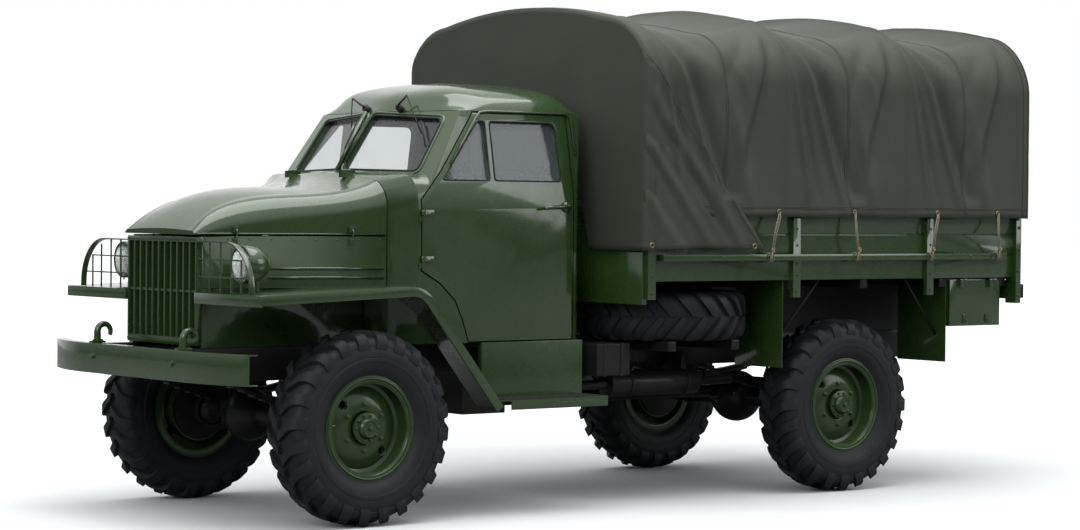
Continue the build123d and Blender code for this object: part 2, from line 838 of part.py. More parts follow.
# Cab floor on four pads over the frame, and the sills under the doors.
floor_half = cab_half_width - cab_wall - 10
floor_back = cab_rear_x + cab_wall
floor_front = cowl_front_x - cab_wall
with BuildPart() as cab_floor:
    with BuildSketch(Plane.XY.offset(cab_bottom)):
        with BuildLine():
            Polyline(
                (floor_back, -floor_half + 190),
                (floor_back + 190, -floor_half),
                (cab_front_x - 60, -floor_half),
                (floor_front, -600),
                (floor_front, 600),
                (cab_front_x - 60, floor_half),
                (floor_back + 190, floor_half),
                (floor_back, floor_half - 190),
                close=True,
            )
        make_face()
    extrude(amount=cab_wall)
    with BuildSketch(Plane.XY.offset(rail_top)):
        with Locations(
            [
                (front_axle_x + s, side * (rail_outer_y - rail_width / 2))
                for s in (-700, -1500)
                for side in (1, -1)
            ]
        ):
            Rectangle(90, rail_width - 10)
    extrude(amount=cab_bottom - rail_top)
save(cab_floor.part, "cab_floor")

sill_front_x = front_axle_x - 905.0
sill_length = sill_front_x - board_rear_x
with BuildPart() as sill:
    with Locations((sill_front_x, cab_half_width, sill_bottom)):
        Box(sill_length, cab_wall, cab_bottom - sill_bottom, align=(Align.MAX, Align.MAX, Align.MIN))
    with Locations((sill_front_x, cab_half_width - cab_wall, cab_bottom)):
        Box(sill_length, 120, 30, align=(Align.MAX, Align.MAX, Align.MAX))
board_inner = cab_half_width
with BuildPart() as board:
    with Locations((fender_foot_x + 20, fender_outer, board_top)):
        Box(
            fender_foot_x + 20 - board_rear_x,
            fender_outer - board_inner,
            rail_wall,
            align=(Align.MAX, Align.MAX, Align.MAX),
        )
    with Locations((fender_foot_x - 60, fender_outer, board_top)):
        Box(
            fender_foot_x - 60 - board_rear_x,
            rail_wall,
            board_height,
            align=(Align.MAX, Align.MAX, Align.MAX),
        )
with BuildPart() as running_boards:
    add(sill.part)
    add(board.part)
    mirror(about=Plane.XZ)
save(running_boards.part, "running_boards")

# Bench seat, dashboard and steering wheel, seen through the glass.
seat_half = cab_half_width - 160.0
seat_base = cab_bottom + cab_wall
with BuildPart() as seat:
    with BuildSketch(side_plane(seat_half)) as seat_side:
        with BuildLine():
            Polyline(
                (cab_rear_x + cab_wall + 30, seat_base),
                (cab_rear_x + cab_wall + 30, 1790),
                (cab_rear_x + cab_wall + 120, 1790),
                (cab_rear_x + cab_wall + 190, 1400),
                (cab_rear_x + cab_wall + 620, 1420),
                (cab_rear_x + cab_wall + 620, 1310),
                (cab_rear_x + cab_wall + 560, seat_base),
                close=True,
            )
        make_face()
        fillet(seat_side.vertices().group_by(Axis.Z)[-3:], 25)
    extrude(amount=2 * seat_half)
save(seat.part, "seat")

dash_rear_x = front_axle_x - 640.0
dash_half = cab_half_width - 100.0
with BuildPart() as dashboard:
    with BuildSketch(side_plane(dash_half)):
        with BuildLine():
            Polyline(
                (cab_front_x - 90, 1850),
                (dash_rear_x, 1830),
                (dash_rear_x + 20, 1640),
                (cab_front_x - 90, 1640),
                close=True,
            )
        make_face()
    extrude(amount=2 * dash_half)
    with Locations((cowl_front_x - cab_wall, 0, 1745)):
        Box(cowl_front_x - cab_wall - (cab_front_x - 90), 60, 60, align=(Align.MAX, Align.CENTER, Align.CENTER))
save(dashboard.part, "dashboard")

column_y = cab_half_width - 430.0
wheel_hub = Vector(front_axle_x - 860, column_y, 1745)
column_foot = Vector(front_axle_x - 560, column_y, cab_bottom + cab_wall)
column_dir = (wheel_hub - column_foot).normalized()
rim_plane = Plane(origin=wheel_hub, x_dir=(0, 1, 0), z_dir=column_dir)
steer_rim_radius = 215.0
steer_rim_bar = 14.0
with BuildPart() as steering_wheel:
    with Locations(rim_plane):
        Torus(steer_rim_radius, steer_rim_bar)
    with BuildSketch(rim_plane):
        with PolarLocations(0, 3):
            with Locations((steer_rim_radius / 2, 0)):
                Rectangle(steer_rim_radius, 20)
        Circle(38)
    extrude(amount=5, both=True)
    with BuildSketch(Plane(origin=column_foot, x_dir=(0, 1, 0), z_dir=column_dir)):
        Circle(22)
    extrude(amount=(wheel_hub - column_foot).length)
    split(bisect_by=Plane.XY.offset(cab_bottom + cab_wall), keep=Keep.TOP)
save(steering_wheel.part, "steering_wheel")

# Front axle with ball ends, steering knuckles and tie rod.
king_pin_y = 650.0
ball_radius = 86.0
shell_inner = 92.0
shell_outer = 106.0
axle_tube = 54.0
pin_radius = 16.0
pin_inner = 62.0
front_diff_y = -220.0
diff_radius = 150.0
axle_nose = 200.0
spring_y = rail_outer_y - rail_width / 2
spring_width = 64.0
with BuildPart() as front_axle:
    with Locations((front_axle_x, 0, axle_z)):
        Cylinder(axle_tube, 2 * king_pin_y, rotation=(90, 0, 0))
    with Locations((front_axle_x, front_diff_y, axle_z)):
        Sphere(diff_radius)
    with BuildSketch(cross_plane(front_axle_x - axle_nose)):
        with Locations((front_diff_y, axle_z + 40)):
            Circle(58)
    extrude(amount=axle_nose)
    with Locations([(front_axle_x, side * king_pin_y, axle_z) for side in (1, -1)]):
        Sphere(ball_radius)
    with Locations([(front_axle_x, side * spring_y, axle_z) for side in (1, -1)]):
        Box(130, spring_width, axle_tube + 18, align=(Align.CENTER, Align.CENTER, Align.MIN))
    for side in (1, -1):
        for up in (1, -1):
            with Locations((front_axle_x, side * king_pin_y, axle_z + up * (pin_inner - 2))):
                Cylinder(
                    pin_radius + seat_gap,
                    60,
                    align=(Align.CENTER, Align.CENTER, Align.MIN if up == 1 else Align.MAX),
                    mode=Mode.SUBTRACT,
                )
save(front_axle.part, "front_axle")

# The arms run straight back from the pins, so the tie rod stays square to the truck as both wheels turn alike.
arm_reach = 230.0
arm_y = king_pin_y
arm_bottom = axle_z - shell_outer - 10.0
tie_bar = 18.0
eye_half = tie_bar + 4.0
tie_z = arm_bottom - run_gap - eye_half
stud_radius = 10.0
stud_bottom = tie_z - eye_half - 6.0
eye_radius = 26.0
plate_y = half_track - drum_open - 6.0
with BuildPart() as knuckle:
    with Locations((front_axle_x, king_pin_y, axle_z)):
        Sphere(shell_outer)
        Sphere(shell_inner, mode=Mode.SUBTRACT)
    with Locations((front_axle_x, king_pin_y - 25, axle_z)):
        Box(400, 400, 400, align=(Align.CENTER, Align.MAX, Align.CENTER), mode=Mode.SUBTRACT)
    with Locations((front_axle_x, plate_y, axle_z)):
        Box(400, 400, 400, align=(Align.CENTER, Align.MIN, Align.CENTER), mode=Mode.SUBTRACT)
    with BuildSketch(side_plane(plate_y)):
        with Locations((front_axle_x, axle_z)):
            Circle(drum_radius - 12)
    extrude(amount=10)
    with BuildSketch(side_plane(half_track + 50)):
        with Locations((front_axle_x, axle_z)):
            Circle(spindle_radius)
    extrude(amount=half_track + 50 - plate_y)
    for up in (1, -1):
        with Locations((front_axle_x, king_pin_y, axle_z + up * pin_inner)):
            Cylinder(
                pin_radius,
                shell_outer - pin_inner + 10,
                align=(Align.CENTER, Align.CENTER, Align.MIN if up == 1 else Align.MAX),
            )
    with BuildSketch(Plane.XY.offset(arm_bottom)):
        with BuildLine():
            Polyline(
                (front_axle_x + 22, king_pin_y + 22),
                (front_axle_x + 22, king_pin_y - 22),
                (front_axle_x - 60, arm_y - 20),
                (front_axle_x - arm_reach - 26, arm_y - 20),
                (front_axle_x - arm_reach - 26, arm_y + 20),
                (front_axle_x - 40, arm_y + 24),
                close=True,
            )
        make_face()
    extrude(amount=20)
    with Locations((front_axle_x - arm_reach, arm_y, arm_bottom + 2)):
        Cylinder(stud_radius, arm_bottom + 2 - stud_bottom, align=(Align.CENTER, Align.CENTER, Align.MAX))
save(knuckle.part, "knuckle_left")
save(other_side(knuckle.part), "knuckle_right")

eye_places = [(front_axle_x - arm_reach, side * arm_y, tie_z) for side in (1, -1)]
with BuildPart() as tie_rod:
    with Locations((front_axle_x - arm_reach, 0, tie_z)):
        Cylinder(tie_bar, 2 * arm_y, rotation=(90, 0, 0))
    with Locations(eye_places):
        Cylinder(eye_radius, 2 * eye_half)
    with Locations(eye_places):
        Cylinder(stud_radius + seat_gap, 4 * tie_bar, mode=Mode.SUBTRACT)
save(tie_rod.part, "tie_rod")

# Rear axle.
rear_diff_radius = 165.0
with BuildPart() as rear_axle:
    with Locations((rear_axle_x, 0, axle_z)):
        Cylinder(axle_tube + 8, 2 * (half_track - drum_open - 30), rotation=(90, 0, 0))
        Sphere(rear_diff_radius)
    with BuildSketch(cross_plane(rear_axle_x)):
        with Locations((0, axle_z + 40)):
            Circle(58)
    extrude(amount=axle_nose)
    with Locations([(rear_axle_x, side * spring_y, axle_z) for side in (1, -1)]):
        Box(130, spring_width, axle_tube + 18, align=(Align.CENTER, Align.CENTER, Align.MIN))
    for side in (1, -1):
        with BuildSketch(Plane(origin=(rear_axle_x, side * (half_track - drum_open - 40), axle_z), z_dir=(0, side, 0))):
            Circle(spindle_radius)
        extrude(amount=drum_open + 90)
        with BuildSketch(Plane(origin=(rear_axle_x, side * plate_y, axle_z), z_dir=(0, -side, 0))):
            Circle(drum_radius - 12)
        extrude(amount=10)
save(rear_axle.part, "rear_axle")

# Leaf springs: leaves of falling length, packed under each other, with hangers up to the rails.
leaf = 10.0
spring_seat_z = axle_z + axle_tube + 18.0
spring_sag = 92.0
spring_rows = [(front_axle_x, 520.0), (rear_axle_x, 640.0)]
spring_leaf_counts = [6, 7]
with BuildPart() as springs:
    for (x, half_length), leaf_count in zip(spring_rows, spring_leaf_counts):
        for i in range(leaf_count):
            reach = half_length * (0.34 + 0.66 * i / (leaf_count - 1))
            low = spring_seat_z + leaf * i
            rise = spring_sag * (reach / half_length) ** 2
            with BuildSketch(side_plane(spring_y + spring_width / 2)):
                with BuildLine():
                    under = ThreePointArc((x - reach, low + rise), (x, low), (x + reach, low + rise))
                    over = ThreePointArc(
                        (x - reach, low + rise + leaf), (x, low + leaf), (x + reach, low + rise + leaf)
                    )
                    Line(under @ 0, over @ 0)
                    Line(under @ 1, over @ 1)
                make_face()
            extrude(amount=spring_width)
        eye_z = spring_seat_z + leaf * leaf_count + spring_sag
        for end in (1, -1):
            with Locations((x + end * (half_length - 25), spring_y, rail_bottom)):
                Box(50, spring_width, rail_bottom - eye_z + 20, align=(Align.CENTER, Align.CENTER, Align.MAX))
    mirror(about=Plane.XZ)
save(springs.part, "leaf_springs")

# Engine as one plain block with its gearbox and transfer case, and the two propeller shafts.
engine_front = radiator_front_x - radiator_depth - 40.0
engine_rear = front_axle_x - 330.0
engine_bottom = 760.0
transfer_front = front_axle_x - 1240.0
transfer_length = 320.0
transfer_bottom = 510.0
shaft_z = axle_z + 40.0
shaft_radius = 36.0
with BuildPart() as power_unit:
    with Locations((engine_front, 0, engine_bottom)):
        Box(engine_front - engine_rear, 480, 690, align=(Align.MAX, Align.CENTER, Align.MIN))
    with Locations((engine_rear, 0, engine_bottom)):
        Box(engine_rear - transfer_front, 300, 150, align=(Align.MAX, Align.CENTER, Align.MIN))
    with Locations((transfer_front, -60, transfer_bottom)):
        Box(transfer_length, 460, rail_top - transfer_bottom - 40, align=(Align.MAX, Align.CENTER, Align.MIN))
    with Locations([(engine_front - 250, 0, rail_mid_z), (transfer_front - transfer_length / 2, 0, rail_mid_z)]):
        Box(80, 2 * (rail_outer_y - rail_wall), 60)
save(power_unit.part, "power_unit")

shaft_rows = [
    (front_axle_x - axle_nose, transfer_front, front_diff_y),
    (transfer_front - transfer_length, rear_axle_x + axle_nose, 0.0),
]
with BuildPart() as shafts:
    for shaft_front, shaft_rear, shaft_y in shaft_rows:
        with BuildSketch(cross_plane(shaft_rear)):
            with Locations((shaft_y, shaft_z)):
                Circle(shaft_radius)
        extrude(amount=shaft_front - shaft_rear)
save(shafts.part, "propeller_shafts")

# Fuel tank, battery box and exhaust along the frame.
tank_front_x = front_axle_x - 1700.0
with BuildPart() as fuel_tank:
    with BuildSketch(cross_plane(tank_front_x - 800)):
        with Locations((-rail_outer_y - 260, 830)):
            RectangleRounded(460, 400, 90)
    extrude(amount=800)
    with Locations([(tank_front_x - 150, -rail_outer_y, 870), (tank_front_x - 650, -rail_outer_y, 870)]):
        Box(60, 40, 120, align=(Align.CENTER, Align.MAX, Align.CENTER))
save(fuel_tank.part, "fuel_tank")

box_front_x = front_axle_x - 1710.0
with BuildPart() as battery_box:
    with Locations((box_front_x, rail_outer_y, 760)):
        Box(250, 420, 190, align=(Align.MAX, Align.MIN, Align.MIN))
    fillet(battery_box.edges().filter_by(Axis.X), 8)
save(battery_box.part, "battery_box")

with BuildPart() as exhaust:
    with BuildSketch(cross_plane(front_axle_x - 2700)):
        with Locations((rail_outer_y + 150, 690)):
            Circle(75)
    extrude(amount=700)
    with BuildSketch(cross_plane(front_axle_x - 3000)):
        with Locations((rail_outer_y + 150, 690)):
            Circle(28)
    extrude(amount=1300)
    with Locations([(front_axle_x - 2150, rail_outer_y, 780), (front_axle_x - 2600, rail_outer_y, 780)]):
        Box(30, 165, 190, align=(Align.CENTER, Align.MIN, Align.CENTER))
save(exhaust.part, "exhaust")

# Headlamps on the fenders with their brush guards.
lamp_x = front_axle_x + 600.0
lamp_y = 633.0
lamp_z = 1423.0
lamp_radius = 105.0
lamp_length = 190.0
fender_deck_z = fender_front_z + (fender_bend_z - fender_front_z) * (fender_front_x - lamp_x + 100) / (
    fender_front_x - fender_bend_x
)
with BuildPart() as lamp:
    with BuildSketch(Plane.XZ):
        with BuildLine():
            face = Line((0, 0), (0, lamp_radius))
            rim = Line(face @ 1, (-26, lamp_radius))
            back = ThreePointArc(rim @ 1, (-lamp_length * 0.72, lamp_radius * 0.66), (-lamp_length, 0))
            Line(back @ 1, face @ 0)
        make_face()
    revolve(axis=Axis.X)
    with BuildSketch(Plane.YZ.offset(-14)):
        Circle(lamp_radius - 10)
    extrude(amount=20, mode=Mode.SUBTRACT)
    with Locations((-90, 0, -lamp_radius * 0.7)):
        Cylinder(24, lamp_z - fender_deck_z - 1.2 - lamp_radius * 0.7, align=(Align.CENTER, Align.CENTER, Align.MAX))
with BuildPart() as lens:
    with BuildSketch(Plane.YZ.offset(-14)):
        Circle(lamp_radius - 10)
    extrude(amount=16)
    fillet(lens.edges().sort_by(Axis.X)[-1], 10)
for source, name in ((lamp, "headlamps"), (lens, "headlamp_lenses")):
    with BuildPart() as pair:
        add(source.part.moved(Location((lamp_x, lamp_y, lamp_z))))
        mirror(about=Plane.XZ)
    save(pair.part, name)

guard_x = grille_x - 1.0
guard_outer = 909.0
guard_top = grille_top - 20.0
guard_strap = 34.0
guard_wall = 8.0
guard_foot_z = fender_front_z + 2.5
guard_bend = (guard_top - guard_foot_z) * 0.92
with BuildPart() as guard:
    with BuildSketch(cross_plane(guard_x - guard_strap)):
        with BuildLine():
            outer = FilletPolyline(
                (grille_half_width, guard_top),
                (guard_outer, guard_top),
                (guard_outer, guard_foot_z),
                radius=guard_bend,
            )
            inner = FilletPolyline(
                (grille_half_width, guard_top - guard_wall),
                (guard_outer - guard_wall, guard_top - guard_wall),
                (guard_outer - guard_wall, guard_foot_z),
                radius=guard_bend - guard_wall,
            )
            Line(outer @ 0, inner @ 0)
            Line(outer @ 1, inner @ 1)
        make_face()
    extrude(amount=guard_strap)
    for wire_y, wire_top in ((480.0, guard_top), (590.0, guard_top), (700.0, guard_top - 30), (800.0, guard_top - 92)):
        with Locations((guard_x - guard_strap / 2, wire_y, guard_foot_z)):
            Box(8, 8, wire_top - 4 - guard_foot_z, align=(Align.CENTER, Align.CENTER, Align.MIN))
    for wire_z, wire_end in ((guard_top - 100, 806.0), (guard_top - 195, 884.0)):
        with Locations((guard_x - guard_strap / 2, grille_half_width, wire_z)):
            Box(8, wire_end - grille_half_width, 8, align=(Align.CENTER, Align.MIN, Align.CENTER))
with BuildPart() as grille_guards:
    add(guard.part)
    mirror(about=Plane.XZ)
    add(grille.part)
save(grille_guards.part, "grille")

# Load bed: floor on sills and runners, front wall, sides with stakes and lashing rails.
inner_half = bed_half_width - bed_wall
with BuildPart() as bed_floor:
    with Locations((bed_front_x - bed_wall, 0, bed_floor_bottom)):
        Box(
            bed_front_x - bed_wall - bed_rear_x,
            2 * inner_half,
            bed_floor_top - bed_floor_bottom,
            align=(Align.MAX, Align.CENTER, Align.MIN),
        )
save(bed_floor.part, "bed_floor")

sill_stations = [front_axle_x + s for s in (-1886.0, -3000.0, -3650.0, -4350.0, -4900.0)]
runner_width = 60.0
runner_rear = rail_rear + 20
post_back_x = bed_front_x - bed_wall - 40
with BuildPart() as bed_sills:
    with Locations([(x, 0, bed_floor_bottom) for x in sill_stations]):
        Box(sill_width, 2 * inner_half, bed_floor_bottom - sill_bottom_z, align=(Align.CENTER, Align.CENTER, Align.MAX))
save(bed_sills.part, "bed_sills")

with BuildPart() as runners:
    for y, runner_front in ((spring_y, sill_stations[1]), (-spring_y, sill_stations[0])):
        with Locations((runner_front + sill_width / 2, y, rail_top)):
            Box(
                runner_front + sill_width / 2 - runner_rear,
                runner_width,
                sill_bottom_z - rail_top,
                align=(Align.MAX, Align.CENTER, Align.MIN),
            )
    with Locations((post_back_x, spring_y, rail_top)):
        Box(40, runner_width, sill_bottom_z - rail_top, align=(Align.MIN, Align.CENTER, Align.MIN))
save(runners.part, "bed_runners")

bed_front_bottom = 1187.0
with BuildPart() as bed_front:
    with Locations((bed_front_x, 0, bed_front_bottom)):
        Box(bed_wall, 2 * bed_half_width, bed_side_top - bed_front_bottom, align=(Align.MAX, Align.CENTER, Align.MIN))

bow_stations = [front_axle_x + s for s in (-1880.0, -2900.0, -3920.0, -4935.0)]
bow_foot_z = bed_side_top - 20.0
stake_stations = [front_axle_x + s for s in (-1870.0, -3020.0, -4170.0)]
stake_bottom = 1215.0
with BuildPart() as bed_side:
    with Locations((bed_front_x - bed_wall, bed_half_width, bed_floor_bottom)):
        Box(
            bed_front_x - bed_wall - bed_rear_x,
            bed_wall,
            bed_side_top - bed_floor_bottom,
            align=(Align.MAX, Align.MAX, Align.MIN),
        )
    for groove in (0.36, 0.68):
        groove_z = bed_floor_bottom + groove * (bed_side_top - bed_floor_bottom)
        with Locations((bed_front_x, bed_half_width, groove_z)):
            Box(2 * (bed_front_x - bed_rear_x), 16, 10, mode=Mode.SUBTRACT)
    with Locations([(x, bed_half_width, stake_bottom) for x in stake_stations]):
        Box(
            stake_width,
            stake_depth,
            bow_foot_z - stake_bottom,
            align=(Align.CENTER, Align.MIN, Align.MIN),
        )
    with Locations([(x, bed_half_width, bow_foot_z) for x in bow_stations]):
        Box(
            bow_bar + 16,
            canvas_half_width - canvas_wall - bow_bar - 2 * seat_gap - bed_half_width,
            bed_side_top - bow_foot_z,
            align=(Align.CENTER, Align.MIN, Align.MIN),
        )
box_front = front_axle_x - 4400.0
box_rear = front_axle_x - 4862.0
box_outer = inner_half
lid_wall = 10.0
lid_top = bed_floor_bottom - 2 * run_gap
lid_hinge_y = box_outer + run_gap + lid_wall + run_gap + knuckle_radius
lid_hinge_z = lid_top - 3.0
lid_hinge_points = [(x, lid_hinge_y, lid_hinge_z) for x in (box_rear + 80.0, box_front - 110.0)]
lid_knuckles, lid_barrels = hinge_parts(lid_hinge_points, (1, 0, 0))

lash_front = stake_stations[0] - 60.0
lash_rear = bed_rear_x + 130.0
with BuildPart() as lash:
    with Locations((lash_front, bed_half_width + stake_depth, lash_rail_z)):
        Box(lash_front - lash_rear, lash_rail, lash_rail, align=(Align.MAX, Align.MIN, Align.MIN))
    with Locations(
        [
            (lash_front - 30, bed_half_width, lash_rail_z),
            (lash_rear + 30, bed_half_width, lash_rail_z),
        ]
    ):
        Box(40, stake_depth + lash_rail, lash_rail, align=(Align.CENTER, Align.MIN, Align.MIN))
with BuildPart() as bed_sides:
    add(bed_side.part)
    add(lash.part)
    add(lid_knuckles)
    for x, y, z in lid_hinge_points:
        with Locations((x, y, z)):
            Box(
                knuckle_length,
                pin_bar + 1,
                bed_floor_bottom + leaf_sunk - z,
                align=(Align.MAX, Align.CENTER, Align.MIN),
            )
    mirror(about=Plane.XZ)
save(bed_sides.part, "bed_sides")

# Rear frame of the bed, tailgate, lamps, mud plates and tool boxes.
post_bottom = 1153.0
post_depth = 46.0
post_width = 90.0
post_outer = bed_half_width + stake_depth
rear_sill_top = 1300.0
gate_wall = 36.0
gate_hinge_x = bed_rear_x - run_gap - gate_wall - knuckle_radius - run_gap
gate_hinge_z = rear_sill_top + run_gap / 2
gate_hinge_points = [(gate_hinge_x, y, gate_hinge_z) for y in (-620.0, -80.0, 560.0)]
gate_knuckles, gate_barrels = hinge_parts(gate_hinge_points, (0, 1, 0))
with BuildPart() as rear_frame:
    with Locations([(bed_rear_x, side * (post_outer - post_width / 2), post_bottom) for side in (1, -1)]):
        Box(post_depth, post_width, bed_side_top - post_bottom, align=(Align.MAX, Align.CENTER, Align.MIN))
    with Locations((bed_rear_x, 0, rear_sill_top)):
        Box(post_depth, 2 * post_outer, 120, align=(Align.MAX, Align.CENTER, Align.MAX))
    add(gate_knuckles)
    for x, y, z in gate_hinge_points:
        with Locations((x, y, z)):
            Box(
                bed_rear_x - post_depth + leaf_sunk - x,
                knuckle_length,
                36,
                align=(Align.MIN, Align.MAX, Align.MAX),
            )
with BuildPart() as bed_ends:
    add(bed_front.part)
    add(rear_frame.part)
save(bed_ends.part, "bed_ends")

gate_half = post_outer - post_width - run_gap
gate_bottom = rear_sill_top + run_gap
gate_front_x = bed_rear_x - run_gap
with BuildPart() as tailgate:
    with Locations((gate_front_x, 0, gate_bottom)):
        Box(gate_wall, 2 * gate_half, bed_side_top - gate_bottom - run_gap, align=(Align.MAX, Align.CENTER, Align.MIN))
    with Locations([(gate_front_x - gate_wall, y, (gate_bottom + bed_side_top) / 2) for y in (-700, 0, 700)]):
        Box(20, 60, bed_side_top - gate_bottom - 40, align=(Align.MAX, Align.CENTER, Align.CENTER))
    add(gate_barrels)
    for x, y, z in gate_hinge_points:
        with Locations((gate_front_x - gate_wall + leaf_sunk, y + run_gap, z + pin_bar + 2)):
            Box(
                gate_front_x - gate_wall + leaf_sunk - x + knuckle_radius,
                knuckle_length,
                40,
                align=(Align.MAX, Align.MIN, Align.MIN),
            )
save(tailgate.part, "tailgate")

plate_wall = 6.0
plate_inner = 660.0
plate_outer = inner_half
mud_plate_bottom = 785.0
mud_front_x = sill_stations[1] + sill_width / 2
mud_rear_x = sill_stations[3] - sill_width / 2
with BuildPart() as mud_plate:
    with Locations((mud_front_x, plate_inner, mud_plate_bottom)):
        Box(
            plate_wall,
            plate_outer - plate_inner,
            bed_floor_bottom - mud_plate_bottom,
            align=(Align.MIN, Align.MIN, Align.MIN),
        )
    with Locations((mud_rear_x, plate_inner, mud_plate_bottom)):
        Box(
            plate_wall,
            plate_outer - plate_inner,
            bed_floor_bottom - mud_plate_bottom,
            align=(Align.MAX, Align.MIN, Align.MIN),
        )
with BuildPart() as mud_plates:
    add(mud_plate.part)
    mirror(about=Plane.XZ)
save(mud_plates.part, "mud_plates")

box_inner = 700.0
box_bottom = 1012.0
box_wall = 8.0
with BuildPart() as tool_box:
    with Locations(((box_front + box_rear) / 2, (box_inner + box_outer) / 2, (box_bottom + bed_floor_bottom) / 2)):
        Box(box_front - box_rear, box_outer - box_inner, bed_floor_bottom - box_bottom)
    with Locations(((box_front + box_rear) / 2, box_inner + box_wall, (box_bottom + bed_floor_bottom) / 2)):
        Box(
            box_front - box_rear - 2 * box_wall,
            box_outer - box_inner,
            bed_floor_bottom - box_bottom - 2 * box_wall,
            align=(Align.CENTER, Align.MIN, Align.CENTER),
            mode=Mode.SUBTRACT,
        )
with BuildPart() as tool_boxes:
    add(tool_box.part)
    mirror(about=Plane.XZ)
save(tool_boxes.part, "tool_boxes")
with BuildPart() as box_lid:
    with Locations(((box_front + box_rear) / 2, box_outer + run_gap, (box_bottom + lid_top) / 2)):
        Box(box_front - box_rear, lid_wall, lid_top - box_bottom, align=(Align.CENTER, Align.MIN, Align.CENTER))
    add(lid_barrels)
    for x, y, z in lid_hinge_points:
        with Locations((x + run_gap, box_outer + run_gap + lid_wall - leaf_sunk, z - pin_bar - 2)):
            Box(
                knuckle_length,
                y + knuckle_radius - box_outer - run_gap - lid_wall + leaf_sunk,
                40,
                align=(Align.MIN, Align.MIN, Align.MAX),
            )
save(box_lid.part, "tool_box_lid_left")
save(other_side(box_lid.part), "tool_box_lid_right")

lamp_back_x = bed_rear_x - post_depth
with BuildPart() as tail_lamp:
    with Locations((lamp_back_x, post_outer - post_width / 2, 1230)):
        Box(40, 70, 90, align=(Align.MAX, Align.CENTER, Align.CENTER))
with BuildPart() as tail_lamps:
    add(tail_lamp.part)
    mirror(about=Plane.XZ)
save(tail_lamps.part, "tail_lamps")

# Towing hook on the last cross member, its ring lying level.
hook_root_x = rail_rear
hook_ring = 46.0
hook_ring_bar = 16.0
with BuildPart() as pintle:
    with Locations((hook_root_x, 0, rail_mid_z)):
        Box(16, 150, 120, align=(Align.MAX, Align.CENTER, Align.CENTER))
    hook_centre_x = front_axle_x - rear_reach + hook_ring + hook_ring_bar
    with BuildSketch(cross_plane(hook_centre_x + hook_ring)):
        with Locations((0, rail_mid_z)):
            Rectangle(34, 40)
    extrude(amount=hook_root_x - 16 - hook_centre_x - hook_ring)
    with BuildSketch(Plane.XY.offset(rail_mid_z - 20)):
        with Locations((hook_centre_x, 0)):
            Circle(hook_ring + hook_ring_bar)
            Circle(hook_ring - hook_ring_bar, mode=Mode.SUBTRACT)
    extrude(amount=40)
save(pintle.part, "towing_hook")

# Canvas cover over four bows, closed at the front and open at the back.
canvas_front_x = bed_front_x + 20.0
canvas_rear_x = bed_rear_x - post_depth - 20.0


def arch_face(x, inset, foot):
    """Face of the cover across the truck at x, moved in by inset and reaching down to foot."""
    w = canvas_half_width - inset
    c = canvas_shoulder_y - inset * 0.4
    zc = canvas_shoulder_z - inset
    with BuildSketch(cross_plane(x)) as face:
        with BuildLine():
            base = Line((-w, foot), (w, foot))
            right = Line(base @ 1, (w, canvas_eave_z))
            right_arc = ThreePointArc(
                right @ 1, (c + 0.72 * (w - c), canvas_eave_z + 0.66 * (zc - canvas_eave_z)), (c, zc)
            )
            top = ThreePointArc(right_arc @ 1, (0, canvas_crown_z - inset), (-c, zc))
            left_arc = ThreePointArc(
                top @ 1, (-c - 0.72 * (w - c), canvas_eave_z + 0.66 * (zc - canvas_eave_z)), (-w, canvas_eave_z)
            )
            Line(left_arc @ 1, base @ 0)
        make_face()
    return face.sketch


canvas_outer_face = arch_face(canvas_rear_x, 0, canvas_hem_z)
canvas_inner_face = arch_face(canvas_rear_x, canvas_wall, canvas_hem_z - 50)
with BuildPart() as canvas:
    extrude(canvas_outer_face, amount=canvas_front_x - canvas_rear_x, dir=(1, 0, 0))
    extrude(
        canvas_inner_face, amount=canvas_front_x - canvas_rear_x - canvas_wall, dir=(1, 0, 0), mode=Mode.SUBTRACT
    )
save(canvas.part, "canvas_cover")

bow_outer = arch_face(0, canvas_wall + seat_gap, bow_foot_z)
bow_inner = arch_face(0, canvas_wall + seat_gap + bow_bar, bow_foot_z - 50)
with BuildPart() as bow:
    extrude(bow_outer, amount=bow_bar, dir=(1, 0, 0))
    extrude(bow_inner, amount=3 * bow_bar, dir=(1, 0, 0), both=True, mode=Mode.SUBTRACT)
with BuildPart() as bows:
    with Locations([(x - bow_bar / 2, 0, 0) for x in bow_stations]):
        add(bow.part)
save(bows.part, "canvas_bows")
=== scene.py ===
import math
import random

import bmesh
import bpy
from mathutils import Matrix, Vector, noise
from mathutils.bvhtree import BVHTree


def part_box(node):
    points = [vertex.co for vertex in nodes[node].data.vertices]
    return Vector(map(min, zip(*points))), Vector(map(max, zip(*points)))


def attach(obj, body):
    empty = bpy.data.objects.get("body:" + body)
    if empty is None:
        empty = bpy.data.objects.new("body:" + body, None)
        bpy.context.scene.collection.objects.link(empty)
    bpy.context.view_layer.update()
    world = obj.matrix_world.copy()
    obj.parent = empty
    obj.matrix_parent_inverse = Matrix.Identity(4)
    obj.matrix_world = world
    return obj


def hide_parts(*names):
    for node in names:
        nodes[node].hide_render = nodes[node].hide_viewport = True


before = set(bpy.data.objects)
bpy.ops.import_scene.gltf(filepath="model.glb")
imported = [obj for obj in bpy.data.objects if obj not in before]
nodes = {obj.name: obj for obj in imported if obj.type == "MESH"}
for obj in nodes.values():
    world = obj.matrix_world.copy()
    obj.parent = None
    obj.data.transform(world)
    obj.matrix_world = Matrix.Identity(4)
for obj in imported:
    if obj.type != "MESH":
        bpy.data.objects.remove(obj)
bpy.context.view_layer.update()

scene = bpy.context.scene
random.seed(7)

